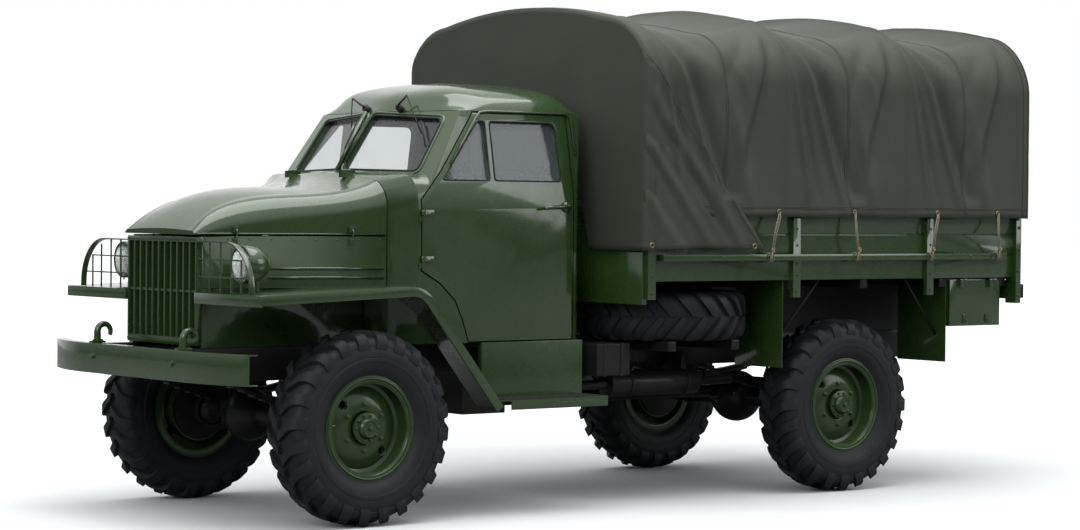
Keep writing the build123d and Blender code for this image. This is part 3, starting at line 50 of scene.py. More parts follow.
# Places shared with the solid model, in metres.
AXLE_X = 2.100
REAR_X = -1.480
AXLE_Z = 0.535
HALF_TRACK = 0.895
CAB_Y = 0.800
SIDES = ((1, "left"), (-1, "right"))
WHEELS = [
    (f"{end}_{label}", side, Vector((x, side * HALF_TRACK, AXLE_Z)))
    for end, x in (("front", AXLE_X), ("rear", REAR_X))
    for side, label in SIDES
]


def clamp(value):
    return min(max(value, 0.0), 1.0)


def circle(turns):
    """Angles of equal steps round a circle."""
    return [2 * math.pi * i / turns for i in range(turns)]


def between(rows, at):
    """Value at a place, from rows of (place, value) whose places fall."""
    for (pa, va), (pb, vb) in zip(rows, rows[1:]):
        if pb <= at <= pa:
            return va + (vb - va) * (pa - at) / (pa - pb)
    return rows[-1][1]


# Materials.
class Graph:
    """The nodes of a material, modifier or world, and the links between them."""

    def __init__(self, tree):
        self.tree = tree

    def node(self, kind, inputs=None, **settings):
        """A new node with its settings, and its inputs fed by name or place."""
        n = self.tree.nodes.new(kind)
        for key, value in settings.items():
            setattr(n, key, value)
        for key, value in (inputs or {}).items():
            self.feed(value, n.inputs[key])
        return n

    def feed(self, value, socket):
        """Sets a socket to a number or a colour, or links another node's output to it."""
        if isinstance(value, (int, float)):
            socket.default_value = value
        elif isinstance(value, tuple):
            socket.default_value = (*value, 1)
        else:
            self.tree.links.new(value, socket)

    def ramp(self, value, stops):
        r = self.node("ShaderNodeValToRGB", {"Fac": value})
        band = r.color_ramp
        while len(band.elements) < len(stops):
            band.elements.new(0.5)
        for element, (place, colour) in zip(band.elements, stops):
            element.position = place
            element.color = (*colour, 1) if isinstance(colour, tuple) else (colour, colour, colour, 1)
        return r.outputs["Color"]

    def span(self, value, low, high, out_low=0.0, out_high=1.0):
        inputs = {"Value": value, "From Min": low, "From Max": high, "To Min": out_low, "To Max": out_high}
        return self.node("ShaderNodeMapRange", inputs).outputs["Result"]

    def math(self, how, a, b):
        return self.node("ShaderNodeMath", {0: a, 1: b}, operation=how).outputs["Value"]

    def mix(self, fac, a, b):
        return self.node("ShaderNodeMix", {0: fac, 6: a, 7: b}, data_type="RGBA").outputs[2]

    def upward(self, vector):
        """The Z part of a vector."""
        return self.node("ShaderNodeSeparateXYZ", {"Vector": vector}).outputs["Z"]


class Shader(Graph):
    """A node material built up from a principled surface."""

    def __init__(self, name):
        self.mat = bpy.data.materials.new(name)
        self.mat.use_nodes = True
        super().__init__(self.mat.node_tree)
        self.bsdf = self.tree.nodes["Principled BSDF"]
        self.surface = self.tree.nodes["Material Output"].inputs["Surface"]
        self.point = self.node("ShaderNodeTexCoord").outputs["Object"]

    def mapped(self, scale):
        m = self.node("ShaderNodeMapping", {"Vector": self.point})
        m.inputs["Scale"].default_value = scale
        return m.outputs["Vector"]

    def noise(self, scale, detail=4.0, rough=0.55, vector=None):
        inputs = {"Scale": scale, "Detail": detail, "Roughness": rough, "Vector": vector or self.point}
        return self.node("ShaderNodeTexNoise", inputs).outputs["Fac"]

    def height(self):
        return self.upward(self.point)

    def facing_up(self):
        return self.upward(self.node("ShaderNodeNewGeometry").outputs["Normal"])

    def wave(self, scale, direction="X", distortion=0.0):
        inputs = {"Scale": scale, "Distortion": distortion, "Vector": self.point}
        bands = {"wave_type": "BANDS", "bands_direction": direction}
        return self.node("ShaderNodeTexWave", inputs, **bands).outputs["Fac"]

    def bumps(self, *layers):
        """Bump layers, each (height, strength, distance in metres)."""
        last = {}
        for value, strength, distance in layers:
            inputs = {"Strength": strength, "Distance": distance, "Height": value, **last}
            last = {"Normal": self.node("ShaderNodeBump", inputs).outputs["Normal"]}
        self.put(**last)

    def blend(self, fac, a, b):
        """Mixes two surfaces."""
        return self.node("ShaderNodeMixShader", {0: fac, 1: a, 2: b}).outputs[0]

    def put(self, **values):
        for key, v in values.items():
            self.feed(v, self.bsdf.inputs[key.replace("_", " ")])


def enamel(name, base, light, dark, dust, coat=0.85, rough=0.27, dust_low=0.2, dust_high=1.25, waves=1.0):
    """Painted sheet metal: uneven gloss, faint waviness, road dust low down and on ledges, and painted shade
    that darkens the faces turned downwards.
    """
    s = Shader(name)
    broad = s.noise(1.6, 3)
    fine = s.noise(22, 5, 0.65)
    colour = s.mix(s.span(broad, 0.3, 0.7), dark, light)
    colour = s.mix(s.span(fine, 0.35, 0.65, 0.35, 0.65), base, colour)
    low = s.span(s.height(), dust_high, dust_low)
    patch = s.ramp(s.noise(7, 6, 0.7), [(0.42, 0.0), (0.76, 1.0)])
    ledge = s.span(s.facing_up(), 0.6, 1.0, 0.0, 0.03)
    amount = s.math("ADD", s.math("MULTIPLY", s.math("MULTIPLY", low, patch), 0.2), ledge)
    colour = s.mix(amount, colour, dust)
    # Painted shade: faces turned downwards are mixed towards near-black.
    under = s.span(s.facing_up(), -0.25, -0.7, 0.0, 0.85)
    colour = s.mix(under, colour, (0.007, 0.008, 0.006))
    chip = s.ramp(s.noise(75, 3, 0.75), [(0.735, 0.0), (0.75, 1.0)])
    chip = s.math("MULTIPLY", chip, s.span(s.noise(3.1, 2), 0.5, 0.7))
    colour = s.mix(s.math("MULTIPLY", chip, 0.15), colour, (0.10, 0.085, 0.06))
    s.put(Base_Color=colour, Coat_Weight=s.math("SUBTRACT", coat, s.math("MULTIPLY", amount, coat)))
    s.put(Coat_Roughness=s.span(fine, 0.3, 0.7, 0.05, 0.14))
    gloss = s.span(s.noise(9, 4, 0.6), 0.3, 0.7, rough - 0.07, rough + 0.1)
    s.put(Roughness=s.math("ADD", gloss, s.math("MULTIPLY", amount, 0.4)))
    s.put(Specular_IOR_Level=0.25, Coat_IOR=1.7)
    s.bumps((s.noise(2.6, 2), 0.2 * waves, 0.012), (s.noise(150, 2), 0.012, 0.0008))
    return s.mat


GREEN = enamel(
    "green_paint", (0.022, 0.055, 0.011), (0.028, 0.065, 0.015), (0.017, 0.045, 0.009), (0.135, 0.125, 0.095)
)
WHEEL_GREEN = enamel(
    "wheel_paint", (0.025, 0.058, 0.014), (0.032, 0.070, 0.018), (0.019, 0.046, 0.011), (0.14, 0.13, 0.10),
    coat=0.3, rough=0.3, dust_low=0.0, dust_high=1.1,
)
INNER_GREEN = enamel(
    "cab_inside_paint", (0.040, 0.058, 0.034), (0.05, 0.07, 0.042), (0.03, 0.045, 0.026), (0.10, 0.10, 0.08),
    coat=0.1, rough=0.5,
)
BLACK = enamel(
    "black_paint", (0.008, 0.009, 0.008), (0.013, 0.014, 0.012), (0.005, 0.005, 0.005), (0.06, 0.056, 0.045),
    coat=0.1, rough=0.5, dust_high=1.5,
)
PLANK = enamel(
    "bed_planks", (0.040, 0.052, 0.034), (0.052, 0.062, 0.042), (0.028, 0.038, 0.024), (0.12, 0.11, 0.085),
    coat=0.0, rough=0.6, dust_low=1.3, dust_high=1.5,
)


def cast_iron():
    s = Shader("iron")
    blot = s.noise(6, 5, 0.7)
    grey, pale, rust = (0.02, 0.022, 0.02), (0.05, 0.05, 0.045), (0.075, 0.055, 0.035)
    colour = s.ramp(blot, [(0.3, grey), (0.55, pale), (0.75, rust)])
    s.put(Base_Color=colour, Roughness=s.span(blot, 0.3, 0.7, 0.45, 0.8), Metallic=0.3)
    s.bumps((s.noise(180, 3), 0.3, 0.001))
    return s.mat


IRON = cast_iron()


def rubber(name, base, tip):
    s = Shader(name)
    blot = s.noise(5, 6, 0.7)
    colour = s.mix(s.span(blot, 0.35, 0.7), base, tip)
    grit = s.ramp(s.noise(40, 6, 0.75), [(0.45, 0.0), (0.75, 1.0)])
    colour = s.mix(s.math("MULTIPLY", grit, 0.14), colour, (0.06, 0.057, 0.05))
    s.put(Base_Color=colour, Roughness=s.span(blot, 0.3, 0.7, 0.44, 0.66), Specular_IOR_Level=0.32)
    s.bumps((s.noise(60, 4, 0.7), 0.16, 0.0015), (s.noise(300, 2), 0.1, 0.0005))
    return s.mat


TYRE = rubber("tyre_rubber", (0.0085, 0.0100, 0.0130), (0.0145, 0.0165, 0.0205))
SEAL = rubber("seal_rubber", (0.010, 0.010, 0.011), (0.018, 0.018, 0.018))


def cloth(name, base, light, dark):
    """Waxed canvas: coarse weave, weather streaks down the sides, and painted light from above that makes
    up-facing cloth a little paler.
    """
    s = Shader(name)
    broad = s.noise(1.3, 4, 0.6)
    streak = s.noise(1.0, 5, 0.65, vector=s.mapped((7.0, 7.0, 0.7)))
    colour = s.mix(s.span(broad, 0.3, 0.7), dark, light)
    colour = s.mix(s.span(streak, 0.3, 0.7, 0.2, 0.75), base, colour)
    # Painted light from above: up-facing cloth is mixed a little paler.
    fade = s.span(s.facing_up(), 0.15, 0.95, 0.0, 0.03)
    colour = s.mix(fade, colour, (0.125, 0.138, 0.128))
    mottle = s.noise(34, 6, 0.75)
    colour = s.mix(s.span(mottle, 0.4, 0.7, 0.0, 0.28), colour, dark)
    s.put(Base_Color=colour, Roughness=0.62, Specular_IOR_Level=0.4)
    weave = s.math("MULTIPLY", s.wave(260, "X"), s.wave(260, "Z"))
    s.bumps((s.noise(9, 4, 0.6), 0.3, 0.006), (s.noise(70, 3, 0.6), 0.2, 0.0016), (weave, 0.12, 0.0006))
    return s.mat


CANVAS = cloth("canvas", (0.047, 0.053, 0.039), (0.055, 0.061, 0.046), (0.038, 0.043, 0.032))
CANVAS_HEM = cloth("canvas_hem", (0.056, 0.062, 0.050), (0.064, 0.069, 0.057), (0.044, 0.048, 0.039))


def rope_fibre():
    s = Shader("rope")
    strand = s.wave(90, "DIAGONAL", 2.0)
    colour = s.mix(strand, (0.17, 0.135, 0.085), (0.33, 0.28, 0.19))
    colour = s.mix(s.span(s.noise(30, 4), 0.4, 0.7, 0, 0.4), colour, (0.15, 0.125, 0.085))
    s.put(Base_Color=colour, Roughness=0.9, Sheen_Weight=0.3)
    s.bumps((strand, 0.6, 0.002), (s.noise(400, 2), 0.3, 0.0006))
    return s.mat


ROPE = rope_fibre()


def metal(name, colour, rough, rust=0.0):
    s = Shader(name)
    blot = s.noise(30, 5, 0.7)
    stain = s.math("MULTIPLY", s.ramp(blot, [(0.5, 0.0), (0.7, 1.0)]), rust)
    base = s.mix(stain, colour, (0.09, 0.045, 0.02))
    s.put(Base_Color=base, Metallic=1.0, Roughness=s.span(blot, 0.3, 0.7, rough * 0.8, rough * 1.3))
    s.bumps((s.noise(220, 2), 0.05, 0.0005))
    return s.mat


CHROME = metal("chrome", (0.72, 0.73, 0.74), 0.08)
BRASS = metal("grommet_brass", (0.30, 0.25, 0.15), 0.42, 0.3)


def pane(name, tint, veil, body, gloss):
    """Window glass: see-through, with a sheen that grows at a glance and a thin grey-blue veil, partly dust
    on the glass and partly painted sky reflection.
    """
    s = Shader(name)
    clear = s.node("ShaderNodeBsdfTransparent", {"Color": tint}).outputs[0]
    sheen = s.node("ShaderNodeBsdfGlossy", {"Roughness": 0.03}).outputs[0]
    film = s.node("ShaderNodeBsdfDiffuse", {"Color": veil}).outputs[0]
    glance = s.node("ShaderNodeLayerWeight", {"Blend": 0.5}).outputs["Facing"]
    rise = s.math("POWER", glance, 4.0)
    # The veil is a faint grey-blue diffuse film in blotches: partly dust on the glass, partly painted sky
    # reflection.
    dust = s.span(s.noise(5, 5, 0.7), 0.3, 0.8, body * 0.85, body * 1.1)
    s.feed(s.blend(s.span(rise, 0.0, 1.0, gloss, 0.6), s.blend(dust, clear, film), sheen), s.surface)
    return s.mat


SCREEN_GLASS = pane("windscreen_glass", (0.985, 0.99, 0.985), (0.34, 0.37, 0.42), 0.05, 0.04)
DOOR_GLASS = pane("door_glass", (0.95, 0.97, 0.97), (0.33, 0.38, 0.44), 0.10, 0.035)


def lamp_lens():
    s = Shader("lamp_lens")
    frost = s.span(s.noise(40, 3), 0.3, 0.7, 0.06, 0.16)
    s.put(Base_Color=(0.80, 0.82, 0.80), Transmission_Weight=0.9, Roughness=frost, IOR=1.3)
    s.bumps((s.wave(26, "Y"), 0.5, 0.003), (s.noise(25, 3), 0.1, 0.002))
    return s.mat


LENS = lamp_lens()


def red_lens():
    s = Shader("red_lens")
    colour = s.mix(s.span(s.noise(20, 4), 0.3, 0.7), (0.16, 0.012, 0.010), (0.28, 0.02, 0.015))
    s.put(Base_Color=colour, Roughness=0.18, Coat_Weight=0.6)
    s.bumps((s.wave(60, "Z"), 0.25, 0.001))
    return s.mat


RED = red_lens()


def seat_hide():
    s = Shader("seat_cover")
    blot = s.noise(8, 6, 0.7)
    colour = s.mix(s.span(blot, 0.4, 0.7), (0.030, 0.034, 0.022), (0.062, 0.060, 0.042))
    s.put(Base_Color=colour, Roughness=s.span(blot, 0.3, 0.7, 0.42, 0.62))
    s.bumps((s.noise(110, 4, 0.6), 0.25, 0.0012), (s.noise(6, 3), 0.2, 0.006))
    return s.mat


SEAT = seat_hide()


# Geometry helpers: the gap that is welded shut, and the angles in degrees over which an edge is an edge.
WELD = 0.00002
SHARP_EDGE = 35
SOLID_EDGE = 38


def grid_faces(rows, columns, round_rows=False, round_columns=False, flip=False):
    """Quads over rows of points; a direction that is round closes on itself."""
    quads = []
    for i in range(rows if round_rows else rows - 1):
        a, b = i * columns, (i + 1) % rows * columns
        for j in range(columns if round_columns else columns - 1):
            n = (j + 1) % columns
            quads.append((a + j, b + j, b + n, a + n) if flip else (a + j, a + n, b + n, b + j))
    return quads


def bevel_edges(obj, width, degrees):
    m = obj.modifiers.new("edges", "BEVEL")
    m.width = width
    m.segments = 2
    m.limit_method = "ANGLE"
    m.angle_limit = math.radians(degrees)


def thick(obj, depth, offset=-1.0):
    """Gives a sheet its thickness."""
    m = obj.modifiers.new("sheet", "SOLIDIFY")
    m.thickness = depth
    m.offset = offset


def soften_group():
    """Modifier that smooths round faces and keeps sharp edges."""
    group = bpy.data.node_groups.new("soften", "GeometryNodeTree")
    for way in ("INPUT", "OUTPUT"):
        group.interface.new_socket("Geometry", in_out=way, socket_type="NodeSocketGeometry")
    g = Graph(group)
    smooth = "GeometryNodeSetShadeSmooth"
    angle = g.node("GeometryNodeInputMeshEdgeAngle").outputs["Unsigned Angle"]
    limits = {0: angle, 1: math.radians(SHARP_EDGE)}
    greater = {"data_type": "FLOAT", "operation": "GREATER_THAN"}
    over = g.node("FunctionNodeCompare", limits, **greater).outputs["Result"]
    faces = g.node(smooth, {"Geometry": g.node("NodeGroupInput").outputs[0]}, domain="FACE").outputs[0]
    sharp = {"Geometry": faces, "Selection": over, "Shade Smooth": False}
    g.node("NodeGroupOutput", {0: g.node(smooth, sharp, domain="EDGE").outputs[0]})
    return group


SOFTEN = soften_group()


def soften(obj):
    obj.modifiers.new("soften", "NODES").node_group = SOFTEN


def add_mesh(name, verts, faces, mat, body, smooth=True, bevel=0.0):
    """A new piece from points and faces, riding on a body."""
    mesh = bpy.data.meshes.new(name)
    mesh.from_pydata([tuple(v) for v in verts], [], faces)
    mesh.validate()
    mesh.update()
    for p in mesh.polygons:
        p.use_smooth = smooth
    obj = bpy.data.objects.new(name, mesh)
    scene.collection.objects.link(obj)
    mesh.materials.append(mat)
    if bevel:
        bevel_edges(obj, bevel, SHARP_EDGE)
    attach(obj, body)
    return obj


class Shape:
    """Points and faces gathered for one piece."""

    def __init__(self):
        self.verts = []
        self.faces = []

    def add(self, verts, faces):
        start = len(self.verts)
        self.verts += [Vector(v) for v in verts]
        self.faces += [[start + i for i in f] for f in faces]

    def box(self, low, high):
        (x0, y0, z0), (x1, y1, z1) = low, high
        pts = [(x, y, z) for z in (z0, z1) for x, y in ((x0, y0), (x1, y0), (x1, y1), (x0, y1))]
        self.add(pts, [(0, 3, 2, 1), (4, 5, 6, 7), (0, 1, 5, 4), (1, 2, 6, 5), (2, 3, 7, 6), (3, 0, 4, 7)])

    def side_box(self, side, low, high):
        """A box given for the left side, put on that side or mirrored to the right."""
        near, far = sorted((side * low[1], side * high[1]))
        self.box((low[0], near, low[2]), (high[0], far, high[2]))

    def bar(self, rings):
        """A closed bar through rings of points."""
        sides = len(rings[0])
        last = (len(rings) - 1) * sides
        faces = grid_faces(len(rings), sides, round_columns=True)
        faces += [tuple(range(sides))[::-1], tuple(range(last, last + sides))]
        self.add([p for ring in rings for p in ring], faces)

    def rod(self, a, b, radius, sides=10, end_radius=None):
        a, b = Vector(a), Vector(b)
        axis = (b - a).normalized()
        side = axis.orthogonal().normalized()
        other = axis.cross(side)
        self.bar([[end + (side * math.cos(t) + other * math.sin(t)) * r for t in circle(sides)]
                  for end, r in ((a, radius), (b, end_radius or radius))])

    def tube(self, path, radius, sides=8, tip=None):
        """A bent bar through the points of a path, tapering to the radius tip if that is given."""
        path = [Vector(p) for p in path]
        taper = ((tip or radius) - radius) / (len(path) - 1)
        rings = []
        side = None
        for i, p in enumerate(path):
            ahead = (path[min(i + 1, len(path) - 1)] - path[max(i - 1, 0)]).normalized()
            side = ahead.orthogonal() if side is None else side - ahead * side.dot(ahead)
            side.normalize()
            up = ahead.cross(side)
            size = radius + taper * i
            rings.append([p + (side * math.cos(t) + up * math.sin(t)) * size for t in circle(sides)])
        self.bar(rings)

    def hexbolt(self, at, axis, radius, height, washer=True):
        at, axis = Vector(at), Vector(axis).normalized()
        if washer:
            self.rod(at, at + axis * height * 0.3, radius * 1.45, 14)
        self.rod(at, at + axis * height, radius, 6)
        self.rod(at + axis * height, at + axis * height * 1.35, radius * 0.55, 8)

    def ring(self, at, axis, radius, bar, turns=48, sides=8):
        at, axis = Vector(at), Vector(axis).normalized()
        side = axis.orthogonal().normalized()
        other = axis.cross(side)
        pts = []
        for t in circle(turns):
            out = side * math.cos(t) + other * math.sin(t)
            pts += [at + out * (radius + bar * math.cos(a)) + axis * bar * math.sin(a) for a in circle(sides)]
        self.add(pts, grid_faces(turns, sides, round_rows=True, round_columns=True))

    def done(self, name, mat, body="chassis", smooth=False, bevel=0.0, slot="green_paint"):
        return add_mesh(name, self.verts, self.faces, mat, body, smooth, bevel)


# Finish of the solid pieces: material and width of the rounded edges.
looks = {n: (GREEN, 0.003) for n in nodes}
for n in nodes:
    if n.startswith("wheel_") or n == "spare_wheel":
        looks[n] = (WHEEL_GREEN, 0.0025)
    if "tyre" in n:
        looks[n] = (TYRE, 0.0)
for mat, width, names in (
    (BLACK, 0.002, ("frame_rails", "frame_cross_members", "front_axle", "rear_axle", "knuckle_left",
                    "knuckle_right", "tie_rod", "leaf_springs", "propeller_shafts", "battery_box", "exhaust",
                    "fuel_tank", "bed_sills", "bed_runners", "towing_hook", "radiator", "canvas_bows",
                    "cab_floor")),
    (BLACK, 0.004, ("tail_lamps",)),
    (IRON, 0.006, ("power_unit",)),
    (SEAL, 0.002, ("steering_wheel",)),
    (INNER_GREEN, 0.004, ("dashboard",)),
    (PLANK, 0.002, ("bed_floor",)),
    (CANVAS, 0.0, ("canvas_cover",)),
    (SEAT, 0.0, ("seat",)),
    (SCREEN_GLASS, 0.0, ("cab_glass",)),
    (DOOR_GLASS, 0.0, ("door_glass_left", "door_glass_right")),
    (LENS, 0.0, ("headlamp_lenses",)),
    (GREEN, 0.0, ("hood", "cab_roof", "cab_front", "cab_back", "cab_cowl")),
    (GREEN, 0.002, ("door_left", "door_right")),
):
    for n in names:
        looks[n] = (mat, width)
for n, (mat, width) in looks.items():
    obj = nodes[n]
    obj.data.materials.clear()
    obj.data.materials.append(mat)
    obj.modifiers.new("weld", "WELD").merge_threshold = WELD
    if width:
        bevel_edges(obj, width, SOLID_EDGE)
    soften(obj)


# Tyres: carcass with raised side rings, and two rows of chevron bar lugs.
TYRE_PROFILE = [
    (0.098, 0.258), (0.104, 0.284), (0.112, 0.300), (0.124, 0.312), (0.133, 0.330), (0.1385, 0.350),
    (0.1405, 0.366), (0.1435, 0.368), (0.1440, 0.384), (0.1415, 0.386), (0.1430, 0.402), (0.1405, 0.428),
    (0.1345, 0.452), (0.1365, 0.454), (0.1340, 0.468), (0.1280, 0.480), (0.1120, 0.496), (0.0800, 0.508),
    (0.0400, 0.512), (0.0, 0.513),
]
# Each lug runs from the middle line out over the shoulder: (y, top radius, root radius, half width, lag).
LUG_ROWS = [
    (0.004, 0.5350, 0.505, 0.0215, 0.000),
    (0.045, 0.5350, 0.503, 0.0235, 0.030),
    (0.082, 0.5340, 0.498, 0.0265, 0.058),
    (0.112, 0.5240, 0.486, 0.0300, 0.076),
    (0.134, 0.5020, 0.462, 0.0320, 0.084),
    (0.1435, 0.4740, 0.440, 0.0320, 0.086),
    (0.1440, 0.4520, 0.436, 0.0290, 0.086),
]
LAG_RADIUS = 0.5
ROOT_SPREAD = 1.22
ROOT_INSET = 0.985


def tyre_shape(turns=112, lugs=24):
    shape = Shape()
    outline = TYRE_PROFILE + [(-y, r) for y, r in TYRE_PROFILE[-2::-1]]
    pts = [(r * math.cos(t), y, r * math.sin(t)) for t in circle(turns) for y, r in outline]
    shape.add(pts, grid_faces(turns, len(outline), round_rows=True))
    for side in (1, -1):
        for i in range(lugs):
            t0 = 2 * math.pi * (i + (0.5 if side < 0 else 0.0)) / lugs
            pts = []
            for y, top, root, half, lag in LUG_ROWS:
                for r, spread, inset in ((root, ROOT_SPREAD, ROOT_INSET), (top, 1.0, 1.0)):
                    for end in (-1, 1):
                        t = t0 + lag / LAG_RADIUS + end * half * spread / top
                        pts.append((r * math.cos(t), side * y * inset, r * math.sin(t)))
            faces = []
            for k in range(len(LUG_ROWS) - 1):
                a, b = 4 * k, 4 * k + 4
                faces += [(a + 2, a + 3, b + 3, b + 2), (a, a + 2, b + 2, b), (a + 3, a + 1, b + 1, b + 3)]
            last = 4 * (len(LUG_ROWS) - 1)
            faces += [(0, 1, 3, 2), (last, last + 2, last + 3, last + 1)]
            if side > 0:
                faces = [f[::-1] for f in faces]
            shape.add(pts, faces)
    return shape


TYRE_SHAPE = tyre_shape()


def place_tyre(name, node, place, body):
    obj = add_mesh(name, [place @ v for v in TYRE_SHAPE.verts], TYRE_SHAPE.faces, TYRE, body)
    soften(obj)
    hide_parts(node)


for name, side, hub in WHEELS:
    roll = Matrix.Rotation(random.random(), 4, "Y")
    turn = Matrix.Rotation(0 if side > 0 else math.pi, 4, "Z")
    place_tyre(f"lugged_tyre_{name}", f"tyre_{name}", Matrix.Translation(hub) @ turn @ roll, f"wheel_{name}")
spare_low, spare_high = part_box("spare_tyre")
spare_place = Matrix.Translation((Vector(spare_low) + Vector(spare_high)) / 2)
place_tyre("lugged_tyre_spare", "spare_tyre", spare_place @ Matrix.Rotation(math.pi / 2, 4, "X"), "chassis")

# Wheels: bulged disc with hand holes, lock ring, hub flange bolts, hub cap plug, valve and stud nuts.
DOME = [
    (0.226, 0.006), (0.220, 0.009), (0.210, 0.014), (0.200, 0.0195), (0.190, 0.024), (0.180, 0.0285),
    (0.170, 0.0325), (0.160, 0.0360), (0.150, 0.0390), (0.140, 0.0410), (0.125, 0.0430), (0.105, 0.0440),
    (0.085, 0.0445),
]
DISC_SHEET = 0.003
HOLE_CIRCLE = 0.186
HOLE_RADIUS = 0.026
HOLE_ANGLES = (math.pi / 4, 5 * math.pi / 4)
FLANGE_BOLTS = 10
STUDS = 6


def about(hub, radius, angle, out):
    """Point at a radius and angle about a wheel's axle, and a signed way out along it."""
    return hub + Vector((radius * math.cos(angle), out, radius * math.sin(angle)))


def add_disc(name, side, hub):
    """Bulged wheel disc of radius and height rows, left open at the two hand holes."""
    turns = 180
    verts = [about(hub, radius, t, side * rise) for radius, rise in DOME for t in circle(turns)]
    holes = [about(hub, HOLE_CIRCLE, t, 0.0) for t in HOLE_ANGLES]
    faces = []
    for quad in grid_faces(len(DOME), turns, round_columns=True):
        middle = sum((verts[q] for q in quad), Vector()) / 4
        if all((middle - hole).xz.length > HOLE_RADIUS for hole in holes):
            faces.append(quad[::-1] if side > 0 else quad)
    obj = add_mesh(f"wheel_dome_{name}", verts, faces, WHEEL_GREEN, f"wheel_{name}")
    thick(obj, DISC_SHEET)


for name, side, hub in WHEELS:
    out = Vector((0, side, 0))
    fittings = Shape()
    for rise, radius, bar, turns, sides in (
        (0.1085, 0.2745, 0.0075, 72, 8),
        (0.099, 0.2500, 0.0050, 72, 6),
        (0.104, 0.0440, 0.0045, 32, 6),
    ):
        fittings.ring(hub + out * rise, out, radius, bar, turns, sides)
    for t in circle(FLANGE_BOLTS):
        fittings.hexbolt(about(hub, 0.0715, t, side * 0.074), out, 0.0075, 0.009)
    for t in circle(STUDS):
        fittings.hexbolt(about(hub, 0.128, t + math.pi / STUDS, side * 0.042), out, 0.0105, 0.014)
    for t in HOLE_ANGLES:
        fittings.ring(about(hub, HOLE_CIRCLE, t, side * 0.024), out, HOLE_RADIUS, 0.004, 28, 8)
    fittings.hexbolt(hub + out * 0.104, out, 0.014, 0.010, False)
    soften(fittings.done(f"hub_fittings_{name}", WHEEL_GREEN, f"wheel_{name}", False, 0.001))
    add_disc(name, side, hub)
    valve = Shape()
    stem = ((0.232, 0.008), (0.214, 0.035), (0.190, 0.045))
    valve.tube([hub + Vector((x, side * y, 0.02)) for x, y in stem], 0.005)
    valve.done(f"valve_{name}", BRASS, f"wheel_{name}", True)


# Canvas cover: hung over four bows, sagging between them, with tension folds and a doubled hem.
BOWS = [0.220, -0.800, -1.820, -2.835]
CANVAS_FRONT = 0.302
CANVAS_REAR = -2.926
CANVAS_Y = 1.186
HEM_Z = 1.703
EAVE_Z = 2.5
SHOULDER = (0.8, 2.870)
CORNER = 0.055
CLOTH = 0.004
SIDE_STEPS = 26


def arc_points(a, b, c, count):
    """Points on the arc from a through b to c, anticlockwise in the (y, z) plane."""
    (ax, ay), (bx, by), (cx, cy) = a, b, c
    d = 2 * (ax * (by - cy) + bx * (cy - ay) + cx * (ay - by))
    sa, sb, sc = (p * p + q * q for p, q in (a, b, c))
    ox = (sa * (by - cy) + sb * (cy - ay) + sc * (ay - by)) / d
    oy = (sa * (cx - bx) + sb * (ax - cx) + sc * (bx - ax)) / d
    r = math.hypot(ax - ox, ay - oy)
    start, end = (math.atan2(q - oy, p - ox) for p, q in (a, c))
    angles = [start + (end - start) * i / count for i in range(count + 1)]
    return [(ox + r * math.cos(t), oy + r * math.sin(t)) for t in angles]


def cover_section():
    """Half of the cover's section, from hem to crown: (distance from the hem, y, z, normal y, normal z)."""
    side = [(CANVAS_Y, HEM_Z + (EAVE_Z - HEM_Z) * i / SIDE_STEPS) for i in range(SIDE_STEPS + 1)]
    corner = arc_points((CANVAS_Y, EAVE_Z), (1.0772, 2.7442), SHOULDER, 18)[1:]
    top = arc_points(SHOULDER, (0.0, 2.957), (-SHOULDER[0], SHOULDER[1]), 48)[1:25]
    pts = side + corner + top
    out = []
    run = 0.0
    for i, (y, z) in enumerate(pts):
        if i:
            run += math.hypot(y - pts[i - 1][0], z - pts[i - 1][1])
        ya, za = pts[max(i - 1, 0)]
        yb, zb = pts[min(i + 1, len(pts) - 1)]
        ny, nz = (zb - za), -(yb - ya)
        size = math.hypot(ny, nz)
        out.append((run, y, z, ny / size, nz / size))
    return out


SECTION = cover_section()


def bay_sag(x):
    """How far x lies into its bay between two bows, 0 at a bow and 1 in the middle."""
    for a, b in zip(BOWS, BOWS[1:]):
        if b <= x <= a:
            t = (a - x) / (a - b)
            return 4 * t * (1 - t)
    return 0.0


def fold_lines(seed):
    """Tension folds in one side: (x, run, x, run, width, depth), run being the distance from the hem."""
    rng = random.Random(seed)
    rows = []
    for a, b in zip(BOWS, BOWS[1:]):
        mid = (a + b) / 2
        rows += [
            (a - 0.01, 1.36, a - 0.46, 0.16, 0.036, 0.030),
            (a - 0.10, 1.26, a - 0.58, 0.12, 0.058, -0.042),
            (a - 0.02, 1.04, a - 0.20, 0.10, 0.030, 0.018),
            (a - 0.06, 0.98, a - 0.28, 0.12, 0.030, -0.016),
            (a - 0.20, 1.40, mid - 0.06, 0.84, 0.060, -0.020),
            (b + 0.02, 1.24, b + 0.28, 0.34, 0.045, -0.024),
            (b + 0.08, 1.20, b + 0.36, 0.40, 0.034, 0.014),
            (b + 0.05, 1.36, mid - 0.05, 0.80, 0.050, -0.018),
            (mid - 0.10, 0.62, mid - 0.24, 0.06, 0.050, 0.016),
        ]
        for _ in range(7):
            x = rng.uniform(b + 0.05, a - 0.05)
            run = rng.uniform(0.25, 1.1)
            lean = rng.choice((-1, 1)) * rng.uniform(0.08, 0.25)
            foot = run - rng.uniform(0.2, 0.45)
            rows.append((x, run, x + lean, foot, rng.uniform(0.016, 0.034), rng.uniform(-0.009, 0.009)))
    return rows


FOLDS = {1: fold_lines(3), -1: fold_lines(11)}


